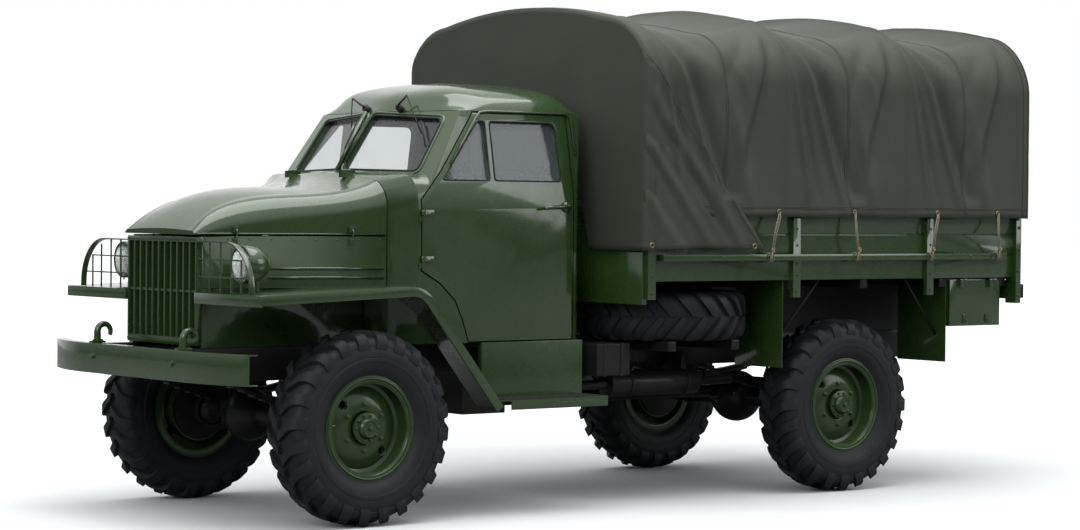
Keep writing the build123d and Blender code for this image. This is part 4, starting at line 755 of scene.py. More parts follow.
def fold_depth(x, run, side):
    total = 0.0
    for x0, r0, x1, r1, width, depth in FOLDS[side]:
        dx, dr = x1 - x0, r1 - r0
        t = ((x - x0) * dx + (run - r0) * dr) / (dx * dx + dr * dr)
        if -0.25 < t < 1.25:
            away = abs((x - x0) * dr - (run - r0) * dx) / math.hypot(dx, dr)
            fade = math.sin(math.pi * clamp((t + 0.2) / 1.4)) ** 0.8
            total += depth * fade * math.exp(-((away / width) ** 2))
    return total


def wander(x, run, side, scale, seed):
    return noise.noise(Vector((x * scale, run * scale, seed + 7 * side)))


# Rise of the crown along the truck, as (x, height).
LIFT = [(0.35, 0.0), (0.22, 0.0), (-0.80, 0.026), (-1.82, 0.030), (-2.835, 0.012), (-3.0, 0.006)]
SIDE_SAG = 0.030
TOP_SAG = 0.066
DEEPEST = 0.085


def corner_turn(past):
    """How far the cloth is drawn in where it rounds the front corner, at a distance past the corner's end."""
    into = min(clamp((past + CORNER) / CORNER), 0.999)
    return CORNER * (1 - math.sqrt(1 - into * into))


def cover_point(x, k, side):
    """Point of the cloth at x and section step k on one side."""
    run, y, z, ny, nz = SECTION[k]
    top = clamp((run - 0.9) / 0.45)
    deep = (SIDE_SAG + TOP_SAG * top) * (0.3 + 0.7 * min(run / 0.35, 1))
    off = -deep * bay_sag(x) ** 0.75 * (1 + 0.3 * wander(x, run, side, 1.4, 3.0))
    off += fold_depth(x, run, side) * (1 - 0.75 * top)
    off += 0.0035 * wander(x, run, side, 3.0, 1.0) + 0.0016 * wander(x, run, side, 11.0, 5.0)
    off += 0.005 * top * wander(x, run, side, 2.2, 9.0)
    near = min(abs(x - b) for b in BOWS)
    off += 0.003 * math.exp(-((near / 0.016) ** 2))
    flare = max(0.0, 1 - run / 0.16)
    off += 0.006 * flare * math.sin(x * 9.0 + side)
    if run < 0.12:
        off = max(off, -0.012)
    off = max(off, -DEEPEST) - corner_turn(x - CANVAS_FRONT)
    drop = 0.003 * flare * (1 - math.cos(2 * math.pi * (x + 0.73) / 0.66))
    rise = between(LIFT, x) * clamp(run - 0.3)
    return Vector((x, side * (y + ny * off), z + nz * off - drop + rise))


def cover_stations():
    """Places along the cover: even steps, and close ones at each bow."""
    steps = 230
    marks = {round(CANVAS_REAR + (CANVAS_FRONT - CANVAS_REAR) * i / steps, 4) for i in range(steps + 1)}
    marks |= {round(b + d, 4) for b in BOWS for d in (-0.02, -0.01, 0.0, 0.01, 0.02)}
    return sorted(marks)


STATIONS = cover_stations()


def build_cover():
    crown = len(SECTION) - 1
    around = [(k, 1) for k in range(crown)] + [(k, -1) for k in range(crown, -1, -1)]
    verts = []
    for x in STATIONS:
        for k, side in around:
            point = cover_point(x, k, side)
            verts.append((point + cover_point(x, k, -side)) / 2 if k == crown else point)
    faces = grid_faces(len(STATIONS), len(around))
    obj = add_mesh("canvas_cloth", verts, faces, CANVAS, "chassis")
    thick(obj, CLOTH)
    return obj


canvas_cloth = build_cover()
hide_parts("canvas_cover")


# Front curtain, with its lower corners folded round on to the sides as three-cornered flaps.
CURTAIN_FOOT = 1.500
CURTAIN_CAB_FOOT = 1.73
CURTAIN_STEP_Y = 0.62


def curtain():
    """Sheet across the front, cut off higher behind the cab than beside it."""
    columns, rows = 48, 40
    outline = [(y, z) for _, y, z, _, _ in SECTION[SIDE_STEPS:]]
    verts = []
    for i in range(columns + 1):
        y = CANVAS_Y * math.sin(math.pi / 2 * (1 - 2 * i / columns))
        top = between(outline, abs(y)) - CLOTH
        foot = CURTAIN_FOOT if abs(y) > CURTAIN_STEP_Y else CURTAIN_CAB_FOOT
        for j in range(rows + 1):
            up = j / rows
            z = foot + (top - foot) * up
            swell = 0.020 * math.sin(math.pi * up) * (1 - (y / 1.19) ** 2)
            swell += 0.006 * noise.noise(Vector((y * 4, z * 3, 2.0)))
            swell += 0.004 * math.sin(y * 14 + z * 5) * (1 - up)
            verts.append((CANVAS_FRONT + swell * 0.6 - corner_turn(abs(y) - CANVAS_Y), y, z))
    faces = grid_faces(columns + 1, rows + 1, flip=True)
    obj = add_mesh("front_curtain", verts, faces, CANVAS, "chassis")
    thick(obj, CLOTH)
    return obj


front_curtain = curtain()

# Slanting rear edge of a flap, as (z, x).
FLAP_EDGE = [
    (2.640, 0.292), (2.600, 0.262), (2.350, 0.060), (2.090, -0.156), (1.800, -0.390), (1.505, -0.618),
]
FLAP_FRONT = 0.304
FLAP_FOOT = 1.503
FLAP_TOP = 2.636
FLAP_FREE = 1.72
FLAP_REST = 1.71


def side_y(x, z, side):
    """Outer face of the cover's side at a height."""
    k = 0
    while k < len(SECTION) - 2 and SECTION[k + 1][2] < z:
        k += 1
    return abs(cover_point(x, k, side).y)


def foot_wave(x, side):
    """Slow wave along the loose foot of a flap."""
    return math.sin(x * 13 + 0.6 * side)


def flap(side, label):
    rows, columns = 56, 40
    verts = []
    for i in range(rows + 1):
        z = FLAP_FOOT + (FLAP_TOP - FLAP_FOOT) * i / rows
        back = between(FLAP_EDGE, z)
        hang = max(0.0, (FLAP_FREE - z) / 0.22)
        middle = math.exp(-((z - 2.0) / 0.48) ** 2)
        for j in range(columns + 1):
            t = j / columns
            x = FLAP_FRONT + (back - FLAP_FRONT) * t
            edge = math.exp(-((1 - t) / 0.06) ** 2)
            along = x * 0.78 - z * 0.63 + 0.05 * noise.noise(Vector((x * 2.2, z * 2.2, 6 + side)))
            folds = 0.010 * math.sin(along * 27) + 0.005 * math.sin(along * 61)
            y = side_y(x, z, side) + 0.007 + 0.004 * edge + 0.010 * hang * foot_wave(x, side)
            y += 0.002 * noise.noise(Vector((x * 8, z * 8, 4 + side))) + folds * middle * (1 - edge)
            verts.append((x, side * y, z + 0.010 * hang * math.sin(math.pi * t)))
    faces = grid_faces(rows + 1, columns + 1, flip=True)
    if side < 0:
        faces = [f[::-1] for f in faces]
    obj = add_mesh(f"front_flap_{label}", verts, faces, CANVAS, "chassis")
    thick(obj, CLOTH, 1.0)
    stitches = Shape()
    line = [(between(FLAP_EDGE, z) + 0.030, z) for z in (FLAP_FOOT + 1.13 * i / 40 for i in range(38))]
    stitches.tube([(x, side * (side_y(x, z, side) + 0.0155), z) for x, z in line], 0.0016, 6)
    foot = [0.295 - 0.9 * i / 40 for i in range(41)]
    out = [side_y(x, FLAP_REST, side) + 0.0135 + 0.008 * foot_wave(x, side) for x in foot]
    stitches.tube([(x, side * y, 1.536) for x, y in zip(foot, out)], 0.0016, 6)
    stitches.done(f"flap_stitching_{label}", CANVAS_HEM, "chassis", True, 0.0, "canvas")


for side, label in SIDES:
    flap(side, label)


# Doubled hem band, seams between the bows and stitch lines.
def seam_over(shape, x, side, proud, bar):
    """Bead across one side of the cover, from the hem to the crown."""
    normals = [Vector((0, side * ny, nz)) for _, _, _, ny, nz in SECTION]
    shape.tube([cover_point(x, k, side) + n * proud for k, n in enumerate(normals)], bar, 6)


for side, label in SIDES:
    seams = Shape()
    for run, bar in ((0.052, 0.0022), (0.060, 0.0018)):
        k = min(range(len(SECTION)), key=lambda i: abs(SECTION[i][0] - run))
        shift = Vector((0, side * 0.0012, run - SECTION[k][0]))
        seams.tube([cover_point(x, k, side) + shift for x in STATIONS[::2]], bar, 6)
    for x in (-0.330, -1.330, -2.350):
        seam_over(seams, x, side, 0.0012, 0.0022)
        seam_over(seams, x - 0.014, side, 0.0012, 0.0016)
    seams.done(f"canvas_seams_{label}", CANVAS_HEM, "chassis", True, 0.0, "canvas")
rear_band = Shape()
for x, bar in ((CANVAS_REAR + 0.004, 0.0035), (CANVAS_REAR + 0.050, 0.0018)):
    for side in (1, -1):
        seam_over(rear_band, x, side, 0.002, bar)
rear_band.done("canvas_rear_hem", CANVAS_HEM, "chassis", True, 0.0, "canvas")

# Grommets along the hem, and lashing ropes down to the rails: (place along the hem, lean at the rail).
TIES = [(-0.730, 0.05), (-1.372, -0.03), (-2.090, 0.04), (-2.640, -0.02)]
FLAP_GROMMETS = [(-0.530, 1.526), (0.262, 1.532)]
RAIL_Y, RAIL_Z = 1.168, 1.458
WRAP = 0.0245
ROPE_BAR = 0.0048
STRAND_BAR = 0.0044
GROMMET = (0.0135, 0.0045, 24, 8)


def lash(rope, at, lean, side):
    """Rope from a grommet to the rail: two strands, three turns round the rail, a knot and a loose end."""
    def near(point, x, y, z):
        return point + Vector((x, side * y, z))

    low = Vector((at.x + lean, side * 1.193, 1.474))
    mid = near((at + low) / 2, 0.006, 0.010, -0.004)
    through = [near(at, 0, -0.012, 0.004), near(at, 0, 0.010, -0.004), near(at, 0.002, 0.014, -0.035)]
    rope.tube(through + [mid, low], ROPE_BAR, 8)
    second = [near(at, 0.006, 0.008, -0.010), near(mid, 0.014, 0.002, 0.01), near(low, 0.012, 0, 0)]
    rope.tube(second, STRAND_BAR, 8)
    for turn in (-0.011, 0.002, 0.015):
        loop = []
        for t in circle(16) + [2 * math.pi]:
            x = low.x + turn + 0.004 * math.sin(t)
            loop.append((x, side * (RAIL_Y + WRAP * math.cos(t)), RAIL_Z + WRAP * math.sin(t)))
        rope.tube(loop, ROPE_BAR, 8)
    knot = near(low, 0.004, 0.006, 0.020)
    rope.ring(knot, (1, 0.2, 0.3), 0.0085, 0.0048, 16, 8)
    rope.ring(near(knot, 0, 0.003, 0.012), (0.2, 1, 0.3), 0.0080, 0.0046, 16, 8)
    rope.tube([knot, near(knot, 0.016, 0.010, -0.018), near(knot, 0.022, 0.011, -0.060)], STRAND_BAR, 8)


for side, label in SIDES:
    rings = Shape()
    ropes = Shape()
    for x, lean in TIES:
        at = Vector((x, side * (side_y(x, HEM_Z + 0.03, side) + 0.003), HEM_Z + 0.028))
        rings.ring(at, (0, 1, 0), *GROMMET)
        lash(ropes, at, lean, side)
    for x, z in FLAP_GROMMETS:
        y = side_y(x, FLAP_REST, side) + 0.012 + 0.010 * foot_wave(x, side)
        rings.ring((x, side * y, z), (0, 1, 0), *GROMMET)
    rings.done(f"grommets_{label}", BRASS, "chassis", True, 0.0, "canvas")
    ropes.done(f"lashing_ropes_{label}", ROPE, "chassis", True, 0.0, "canvas")


# Windscreen: seals round the panes, centre bar, wipers.
SCREEN_FOOT = Vector((1.647, 0.0, 1.945))
SCREEN_NORMAL = Vector((0.8190, 0.1540, 0.5528)).normalized()
SCREEN_ACROSS = Vector((-0.1755, 0.9843, -0.0141)).normalized()
SCREEN_UP = SCREEN_NORMAL.cross(SCREEN_ACROSS)


def on_screen(across, up, out, side=1):
    p = SCREEN_FOOT + SCREEN_ACROSS * across + SCREEN_UP * up + SCREEN_NORMAL * out
    return Vector((p.x, side * p.y, p.z))


def rounded_loop(corners, radius, steps=6):
    """Closed loop of 2-D points with its corners rounded."""
    out = []
    n = len(corners)
    for i in range(n):
        a, b, c = (Vector(corners[(i + d) % n]) for d in (-1, 0, 1))
        p, q = b + (a - b).normalized() * radius, b + (c - b).normalized() * radius
        for k in range(steps + 1):
            t = k / steps
            out.append((1 - t) ** 2 * p + 2 * t * (1 - t) * b + t * t * q)
    return out + out[:1]


pane_loop = rounded_loop([(0.026, 0.014), (0.632, 0.010), (0.632, 0.372), (0.058, 0.396)], 0.045)
frame_loop = rounded_loop([(0.012, -0.004), (0.652, -0.008), (0.652, 0.390), (0.046, 0.415)], 0.055)
seals = Shape()
mouldings = Shape()
for side in (1, -1):
    seals.tube([on_screen(p.x, p.y, 0.000, side) for p in pane_loop], 0.0055, 8)
    mouldings.tube([on_screen(p.x, p.y, -0.001, side) for p in frame_loop], 0.0085, 10)
mouldings.done("windscreen_mouldings", GREEN, "chassis", True)


WAIST_Z = 1.740
LEAN_IN = 0.095 / 0.515


def wall_y(z):
    """Outer face of the cab side at a height: upright to the waist, then leaning in."""
    return CAB_Y if z < WAIST_Z else CAB_Y - (z - WAIST_Z) * LEAN_IN


window_loops = [
    [(1.460, 1.895), (1.175, 2.235), (1.125, 2.235), (1.125, 1.895)],
    [(1.090, 1.895), (1.090, 2.235), (0.640, 2.235), (0.610, 2.200), (0.610, 1.895)],
]
back_loop = rounded_loop([(-0.380, 1.950), (0.380, 1.950), (0.380, 2.210), (-0.380, 2.210)], 0.060)
seals.tube([(0.4095, p.x, p.y) for p in back_loop], 0.007, 8)
seals.done("window_seals", SEAL, "chassis", True, 0.0, "black_paint")
for side, label in SIDES:
    door_seals = Shape()
    for loop in window_loops:
        line = rounded_loop(loop, 0.018, 3)
        door_seals.tube([(p.x, side * (wall_y(p.y) + 0.0005), p.y) for p in line], 0.0045, 8)
    door_seals.done(f"door_window_seals_{label}", SEAL, f"door_{label}", True, 0.0, "black_paint")

centre_bar = Shape()
centre_bar.tube([on_screen(0.0, 0.006, 0.012), on_screen(0.0, 0.41, 0.012)], 0.013, 8)
centre_bar.done("windscreen_centre_bar", GREEN, "chassis", True)

# Each wiper: (motor, pivot, arm end, blade top, blade foot) on its pane, and the pane's side.
wipers = Shape()
blades = Shape()
for motor, pivot, end, top, foot, side in (
    ((0.271, 0.432), (0.319, 0.500), (0.542, 0.257), (0.483, 0.348), (0.618, 0.171), 1),
    ((0.098, 0.432), (0.300, 0.490), (0.146, 0.300), (0.130, 0.330), (0.072, 0.149), -1),
):
    wipers.rod(on_screen(*motor, -0.020, side), on_screen(*motor, 0.034, side), 0.021, 16)
    wipers.rod(on_screen(*motor, 0.030, side), on_screen(*motor, 0.048, side), 0.009, 12)
    wipers.tube([on_screen(*motor, 0.042, side), on_screen(*pivot, 0.052, side)], 0.006, 8)
    half_way = [(p + e) / 2 for p, e in zip(pivot, end)]
    blades.tube([on_screen(*pivot, 0.054, side), on_screen(*half_way, 0.040, side),
                 on_screen(*end, 0.016, side)], 0.0042, 8)
    blades.tube([on_screen(*top, 0.012, side), on_screen(*foot, 0.010, side)], 0.0055, 6)
wipers.done("wiper_arms", BLACK, "chassis", True, 0.0, "black_paint")
blades.done("wiper_blades", SEAL, "chassis", True, 0.0, "black_paint")


# Roof: the pressed panel, drawn over the solid roof with its brow and corners rounded off.
def roof_panel():
    solid = nodes["cab_roof"]
    points = [solid.matrix_world @ v.co for v in solid.data.vertices]
    tree = BVHTree.FromPolygons(points, [p.vertices for p in solid.data.polygons])
    low, high = (Vector(c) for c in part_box("cab_roof"))
    centre = Vector(((low.x + high.x) / 2 - 0.05, 0, low.z + 0.0006))
    reach_x, reach_y, reach_z = (high.x - low.x) / 2, (high.y - low.y) / 2, high.z - low.z
    rows, turns, rounds = 60, 240, 70
    grid = []
    for i in range(rows):
        rise = math.pi / 2 * i / rows
        flat = math.cos(rise)
        line = []
        for t in circle(turns):
            x, y = reach_x * flat * math.cos(t), reach_y * flat * math.sin(t)
            out = Vector((x, y, reach_z * math.sin(rise))).normalized()
            line.append(tree.ray_cast(centre + out * 3, -out)[0])
        grid.append(line)
    crown = tree.ray_cast(centre + Vector((0, 0, 3)), Vector((0, 0, -1)))[0]
    for _ in range(rounds):
        fresh = [grid[0]]
        for i in range(1, rows):
            upper = grid[i + 1] if i < rows - 1 else [crown] * turns
            line = []
            for j, p in enumerate(grid[i]):
                mean = (grid[i - 1][j] + upper[j] + grid[i][j - 1] + grid[i][(j + 1) % turns]) / 4
                free = clamp((p.z - low.z - 0.004) / 0.05)
                line.append(p + (mean - p) * 0.7 * free)
            fresh.append(line)
        grid = fresh
    verts = [p for line in grid for p in line] + [crown]
    faces = grid_faces(rows, turns, round_columns=True)
    last = (rows - 1) * turns
    faces += [(last + j, last + (j + 1) % turns, len(verts) - 1) for j in range(turns)]
    obj = add_mesh("roof_panel", verts, faces, GREEN, "chassis")
    thick(obj, 0.03)
    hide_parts("cab_roof")


roof_panel()

# Drip rails over the doors.
DRIP_LINE = [
    (1.395, 1.985), (1.300, 2.105), (1.195, 2.240), (1.155, 2.284),
    (1.100, 2.292), (0.520, 2.292), (0.490, 2.270), (0.485, 2.050),
]
drip = Shape()
for side in (1, -1):
    drip.tube([(x, side * (wall_y(z) + 0.004), z) for x, z in DRIP_LINE], 0.0075, 8)
drip.done("drip_rails", GREEN, "chassis", True)

# Door handles and hinge rivets.
HANDLE_X, HANDLE_Z = 0.590, 1.748
LEVER = [(HANDLE_X, 0.834, HANDLE_Z), (0.640, 0.840, 1.750), (0.720, 0.838, 1.746), (0.775, 0.832, 1.740)]
for side, label in SIDES:
    handle = Shape()
    for inner, outer, radius, sides in ((0.798, 0.812, 0.030, 24), (0.806, 0.838, 0.013, 14)):
        handle.rod((HANDLE_X, side * inner, HANDLE_Z), (HANDLE_X, side * outer, HANDLE_Z), radius, sides)
    handle.tube([(x, side * y, z) for x, y, z in LEVER], 0.0105, 10)
    handle.hexbolt((0.570, side * 0.806, 1.731), (0, side, 0), 0.004, 0.004, False)
    handle.done(f"door_handle_{label}", GREEN, f"door_{label}", True)
    rivets = Shape()
    for z in (1.451, 1.711):
        for x in (1.5905, 1.5605):
            rivets.rod((x, side * 0.8105, z), (x, side * 0.8145, z), 0.0055, 12, 0.004)
    rivets.done(f"door_hinge_rivets_{label}", GREEN, f"door_{label}", True)

# Hood: edge beads and side latches, with their catches and the beads and rivets of the bay sides.
HOOD_EDGE = [(2.835, 0.373), (2.740, 0.396), (2.250, 0.511), (1.762, 0.6505)]
LATCHES = [(2.610, 0.424), (1.960, 0.597)]
BAY_SIDE = [(2.786, 0.370), (1.758, 0.650)]


def bay_y(x):
    """Outer face of the engine bay side at x."""
    return between(BAY_SIDE, x)


edge_beads, latches, catches, bay_beads, rivets = (Shape() for _ in range(5))
for side in (1, -1):
    edge_beads.tube([(x, side * y, 1.586) for x, y in HOOD_EDGE], 0.0055, 8)
    for x, y in LATCHES:
        latches.side_box(side, (x - 0.018, y - 0.004, 1.592), (x + 0.018, y + 0.016, 1.628))
        lever = ((0.014, 1.612), (0.022, 1.600), (0.020, 1.572))
        latches.tube([(x, side * (y + out), z) for out, z in lever], 0.0055, 8)
        bay = bay_y(x)
        catches.side_box(side, (x - 0.015, bay - 0.012, 1.528), (x + 0.015, bay + 0.012, 1.560))
    for z in (1.395, 1.345):
        bay_beads.tube([(x, side * (bay_y(x) + 0.001), z) for x in (2.42, 2.10, 1.775)], 0.0095, 10)
    for x in (2.770 - 0.122 * i for i in range(9)):
        inner, outer = ((x, side * (bay_y(x) + out), 1.556) for out in (-0.004, 0.004))
        rivets.rod(inner, outer, 0.006, 10, 0.004)
edge_beads.done("hood_edge_beads", GREEN, "hood", True)
latches.done("hood_latches", GREEN, "hood", False, 0.002)
catches.done("hood_catches", GREEN, "chassis", False, 0.002)
bay_beads.done("bay_side_beads", GREEN, "chassis", True)
rivets.done("bay_side_rivets", GREEN, "chassis", True)

# Bolts of the bumper, its ends, the grille and the tow hooks.
HOOK_Y = 0.467
HOOK_PLATE_Z = 0.9695
bolts = Shape()
for side in (1, -1):
    bolts.hexbolt((3.0045, side * 0.432, 0.885), (1, 0, 0), 0.0125, 0.012)
    for z in (0.992, 1.268, 1.553):
        bolts.hexbolt((2.8215, side * 0.3625, z), (1, 0, 0), 0.005, 0.005, False)
    for x in (2.935, 2.990):
        bolts.hexbolt((x, side * HOOK_Y + 0.012, HOOK_PLATE_Z), (0, 0, 1), 0.007, 0.008)
    for z in (0.885, 0.835):
        bolts.hexbolt((2.902, side * 0.9, z), (1, 0, 0), 0.007, 0.006)
bolts.done("front_bolts", GREEN, "chassis", False, 0.001)

# Tow hooks: forged bars, thick at the stem and tapering round to the tip.
HOOK_BEND = 0.042
hooks = Shape()
for side in (1, -1):
    y = side * HOOK_Y
    stem = [(2.9585, y, z) for z in (0.958, 0.985, 1.010)]
    bend = [(2.9165 + HOOK_BEND * math.cos(t), y, 1.022 + HOOK_BEND * math.sin(t))
            for t in (math.radians(14 * i) for i in range(16))]
    hooks.tube(stem + bend, 0.021, 16, 0.0125)
    hooks.box((2.9165, y - 0.020, 0.9575), (3.0005, y + 0.020, HOOK_PLATE_Z))
forged = hooks.done("forged_tow_hooks", GREEN, "chassis", False, 0.001)
soften(forged)
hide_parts("tow_hooks")


# Headlamps: chromed dish behind a domed glass, painted rim and a screw at the bottom.
LAMP_X, LAMP_Y, LAMP_Z = 2.700, 0.633, 1.423
DISH = [(0.0, -0.0125), (0.03, -0.0122), (0.06, -0.0108), (0.082, -0.008), (0.0945, -0.003)]
GLASS = [(0.0, 0.012), (0.03, 0.011), (0.06, 0.0078), (0.08, 0.0035), (0.0945, -0.0015)]


def bowl(shape, centre, rows, turns=48):
    """Round bowl facing forward through rows of (radius, way forward), the first at its middle."""
    pts = [centre + Vector((rows[0][1], 0, 0))]
    for r, x in rows[1:]:
        pts += [centre + Vector((x, r * math.cos(t), r * math.sin(t))) for t in circle(turns)]
    faces = [(0, 1 + i, 1 + (i + 1) % turns) for i in range(turns)]
    quads = grid_faces(len(rows) - 1, turns, round_columns=True, flip=True)
    shape.add(pts, faces + [tuple(1 + q for q in quad) for quad in quads])


dishes, domes, rims = (Shape() for _ in range(3))
for side in (1, -1):
    centre = Vector((LAMP_X, side * LAMP_Y, LAMP_Z))
    bowl(dishes, centre, DISH)
    bowl(domes, centre, GLASS)
    dishes.ring(centre + Vector((-0.010, 0, 0)), (1, 0, 0), 0.012, 0.004, 20, 8)
    rims.ring(centre + Vector((0.001, 0, 0)), (1, 0, 0), 0.0985, 0.0055, 64, 8)
    rims.hexbolt(centre + Vector((-0.006, 0, -0.106)), (0, 0, -1), 0.005, 0.008, False)
dishes.done("lamp_reflectors", CHROME, "chassis", True, 0.0, "lamp_glass")
glass_domes = domes.done("lamp_glasses", LENS, "chassis", True, 0.0, "lamp_glass")
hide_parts("headlamp_lenses")
rims.done("lamp_rims", GREEN, "chassis", True)

# Running board treads.
tread = Shape()
for side in (1, -1):
    for y in (0.822 + 0.0195 * i for i in range(11)):
        tread.side_box(side, (0.475, y, 0.6615), (1.205, y + 0.009, 0.6655))
tread.done("running_board_treads", BLACK, "chassis", False, 0.0015, "black_paint")

# Bed: bolts through the stakes, rails and posts, braces of the mud plates, tailgate and tool box fittings.
BED_BOLTS = [
    ((0.230, -0.920, -2.070), 1.1495, (1.250, 1.350, 1.420, 1.530, 1.630), 0.0060, 0.005),
    ((-0.30, -0.60, -1.25, -1.55, -1.85, -2.40), 1.1855, (1.458,), 0.0050, 0.005),
    ((-2.883,), 1.1495, (1.20, 1.36, 1.50, 1.64), 0.0085, 0.008),
]
BRACES = [((-1.235, 1.305), (-0.876, 0.930)), ((-2.000, 1.305), (-2.274, 0.960))]
bed_bolts = Shape()
brace = Shape()
for side in (1, -1):
    for xs, y, zs, radius, height in BED_BOLTS:
        for x in xs:
            for z in zs:
                bed_bolts.hexbolt((x, side * y, z), (0, side, 0), radius, height)
    for (top_x, top_z), (low_x, low_z) in BRACES:
        line = ((top_x, top_z + 0.012), (top_x, top_z), (low_x, low_z))
        brace.tube([(x, side * 1.0, z) for x, z in line], 0.009, 8)
bed_bolts.done("bed_bolts", GREEN, "chassis", False, 0.001)
brace.done("mud_plate_braces", BLACK, "chassis", True, 0.0, "black_paint")
gate = Shape()
for y in (-1.0, 1.0):
    hook = ((-2.902, 1.660), (-2.918, 1.664), (-2.920, 1.690), (-2.912, 1.700))
    gate.tube([(x, y, z) for x, z in hook], 0.007, 8)
    gate.hexbolt((-2.902, y, 1.640), (-1, 0, 0), 0.008, 0.008)
for y in (-0.7, 0.0, 0.7):
    for z in (1.40, 1.52, 1.64):
        gate.hexbolt((-2.922, y, z), (-1, 0, 0), 0.0075, 0.007)
gate.done("tailgate_fittings", GREEN, "tailgate", False, 0.001)
battens = Shape()
for z in (1.442, 1.580):
    battens.box((-2.9035, -1.046, z), (-2.900, 1.046, z + 0.010))
battens.done("tailgate_plank_battens", GREEN, "tailgate", False, 0.001)
TAIL_X, TAIL_Y = -2.9455, 1.105
lenses = Shape()
for side in (1, -1):
    for z, rear, radius, sides, tip in ((1.248, -2.952, 0.026, 28, 0.022), (1.203, -2.949, 0.011, 20, 0.009)):
        lenses.rod((TAIL_X, side * TAIL_Y, z), (rear, side * TAIL_Y, z), radius, sides, tip)
lenses.done("tail_lamp_glasses", RED, "chassis", True, 0.0, "lamp_red")
for side, label in SIDES:
    hasp = Shape()
    for x in (-2.43, -2.64):
        hasp.side_box(side, (x - 0.014, 1.1005, 1.030), (x + 0.014, 1.108, 1.085))
        hasp.ring((x, side * 1.112, 1.045), (1, 0, 0), 0.009, 0.0028, 16, 6)
    hasp.done(f"tool_box_hasps_{label}", GREEN, f"tool_box_lid_{label}", False, 0.001)

# Spring clips, tank straps and cap, battery box straps, exhaust bands.
SPRING_Y = 0.3975
under = Shape()
for x in (AXLE_X, REAR_X):
    for y in (SPRING_Y, -SPRING_Y):
        for dx in (-0.045, 0.045):
            for dy in (-0.036, 0.036):
                under.rod((x + dx, y + dy, 0.470), (x + dx, y + dy, 0.700), 0.008, 10)
            under.box((x + dx - 0.009, y - 0.044, 0.676), (x + dx + 0.009, y + 0.044, 0.690))
        under.box((x - 0.060, y - 0.046, 0.468), (x + 0.060, y + 0.046, 0.480))
for x in (0.250, -0.250):
    loop = rounded_loop([(-0.922, 0.628), (-0.458, 0.628), (-0.458, 1.032), (-0.922, 1.032)], 0.09, 8)
    under.tube([(x, p.x, p.y) for p in loop], 0.006, 6)
under.rod((0.130, -0.800, 1.028), (0.130, -0.800, 1.060), 0.045, 24)
for x in (0.200, 0.330):
    under.box((x - 0.012, 0.850, 0.758), (x + 0.012, 0.853, 0.952))
for x in (-0.050, -0.500):
    under.ring((x, 0.580, 0.690), (1, 0, 0), 0.0765, 0.006, 40, 6)
under.done("chassis_fittings", BLACK, "chassis", False, 0.001, "black_paint")


# Seat: two padded cushions with stitched channels.
CHANNELS = 14


def cushion(name, low, high, lean, face, dent):
    """Rounded pad between two corners, leaning back over its height, with seams dented into one face."""
    bm = bmesh.new()
    bmesh.ops.create_cube(bm, size=2.0)
    bmesh.ops.subdivide_edges(bm, edges=bm.edges[:], cuts=34, use_grid_fill=True)
    verts = []
    for v in bm.verts:
        q = Vector([c * (1 - 0.02 * (v.co.length_squared - c * c) ** 2) for c in v.co])
        if q[face] > 0.5:
            q[face] -= dent * abs(math.cos(q.y * CHANNELS * math.pi / 2)) ** 6
        place = [a + (b - a) * (c + 1) / 2 for a, b, c in zip(low, high, q)]
        place[0] += lean * (1 - q.z) / 2
        verts.append(place)
    bm.verts.index_update()
    faces = [[v.index for v in f.verts] for f in bm.faces]
    bm.free()
    obj = add_mesh(name, verts, faces, SEAT, "chassis")
    return obj


seat_pad = cushion("seat_cushion", (0.600, -0.640, 1.285), (1.075, 0.640, 1.425), 0.0, 2, 0.10)
cushion("seat_back", (0.485, -0.640, 1.380), (0.575, 0.640, 1.800), 0.075, 0, 0.12)
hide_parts("seat")
seat_box = Shape()
seat_box.box((0.480, -0.630, 1.015), (1.030, 0.630, 1.290))
seat_box.done("seat_box", INNER_GREEN, "chassis", False, 0.004)

# Dials on the dashboard, and fins of the radiator.
DIAL_X, DIAL_Z = 1.4585, 1.735
dials = Shape()
for y in (0.300, 0.370, 0.440):
    dials.ring((DIAL_X, y, DIAL_Z), (1, 0, -0.1), 0.032, 0.005, 28, 6)
    dials.rod((DIAL_X + 0.002, y, DIAL_Z), (DIAL_X, y, DIAL_Z), 0.030, 24)
dials.done("dash_dials", SEAL, "chassis", True, 0.0, "black_paint")
fins = Shape()
for z in (0.985 + 0.013 * i for i in range(44)):
    fins.box((2.686, -0.318, z), (2.6885, 0.318, z + 0.004))
fins.done("radiator_fins", BLACK, "chassis", False, 0.0, "black_paint")

# Stage: pale floor, soft light from above and the sides, and the camera where the photo was taken.
FLOOR_REACH = 90.0
FLOOR_Z = -0.001
floor_mesh = bpy.data.meshes.new("floor")
corners = ((-1, -1), (1, -1), (1, 1), (-1, 1))
floor_mesh.from_pydata([(x * FLOOR_REACH, y * FLOOR_REACH, FLOOR_Z) for x, y in corners], [], [(0, 1, 2, 3)])
floor = bpy.data.objects.new("floor", floor_mesh)
scene.collection.objects.link(floor)
ground = Shader("studio_floor")
rays = ground.node("ShaderNodeLightPath").outputs
seen = ground.math("MAXIMUM", rays["Is Camera Ray"], rays["Is Transmission Ray"])
mirrored = ground.math("MULTIPLY", rays["Is Glossy Ray"], 0.1)
pale = ground.mix(ground.span(ground.noise(0.6, 3), 0.3, 0.7), (0.92, 0.92, 0.92), (0.94, 0.94, 0.94))
shown = ground.math("MAXIMUM", seen, mirrored)
ground.put(Base_Color=ground.mix(shown, (0.20, 0.20, 0.19), pale), Roughness=0.9)
away = ground.node("ShaderNodeVectorMath", {0: ground.point}, operation="LENGTH").outputs["Value"]
far = ground.math("MULTIPLY", ground.span(away, 3.0, 10.0), seen)
ground.put(Emission_Color=(1, 1, 1), Emission_Strength=ground.math("MULTIPLY", far, 0.6))
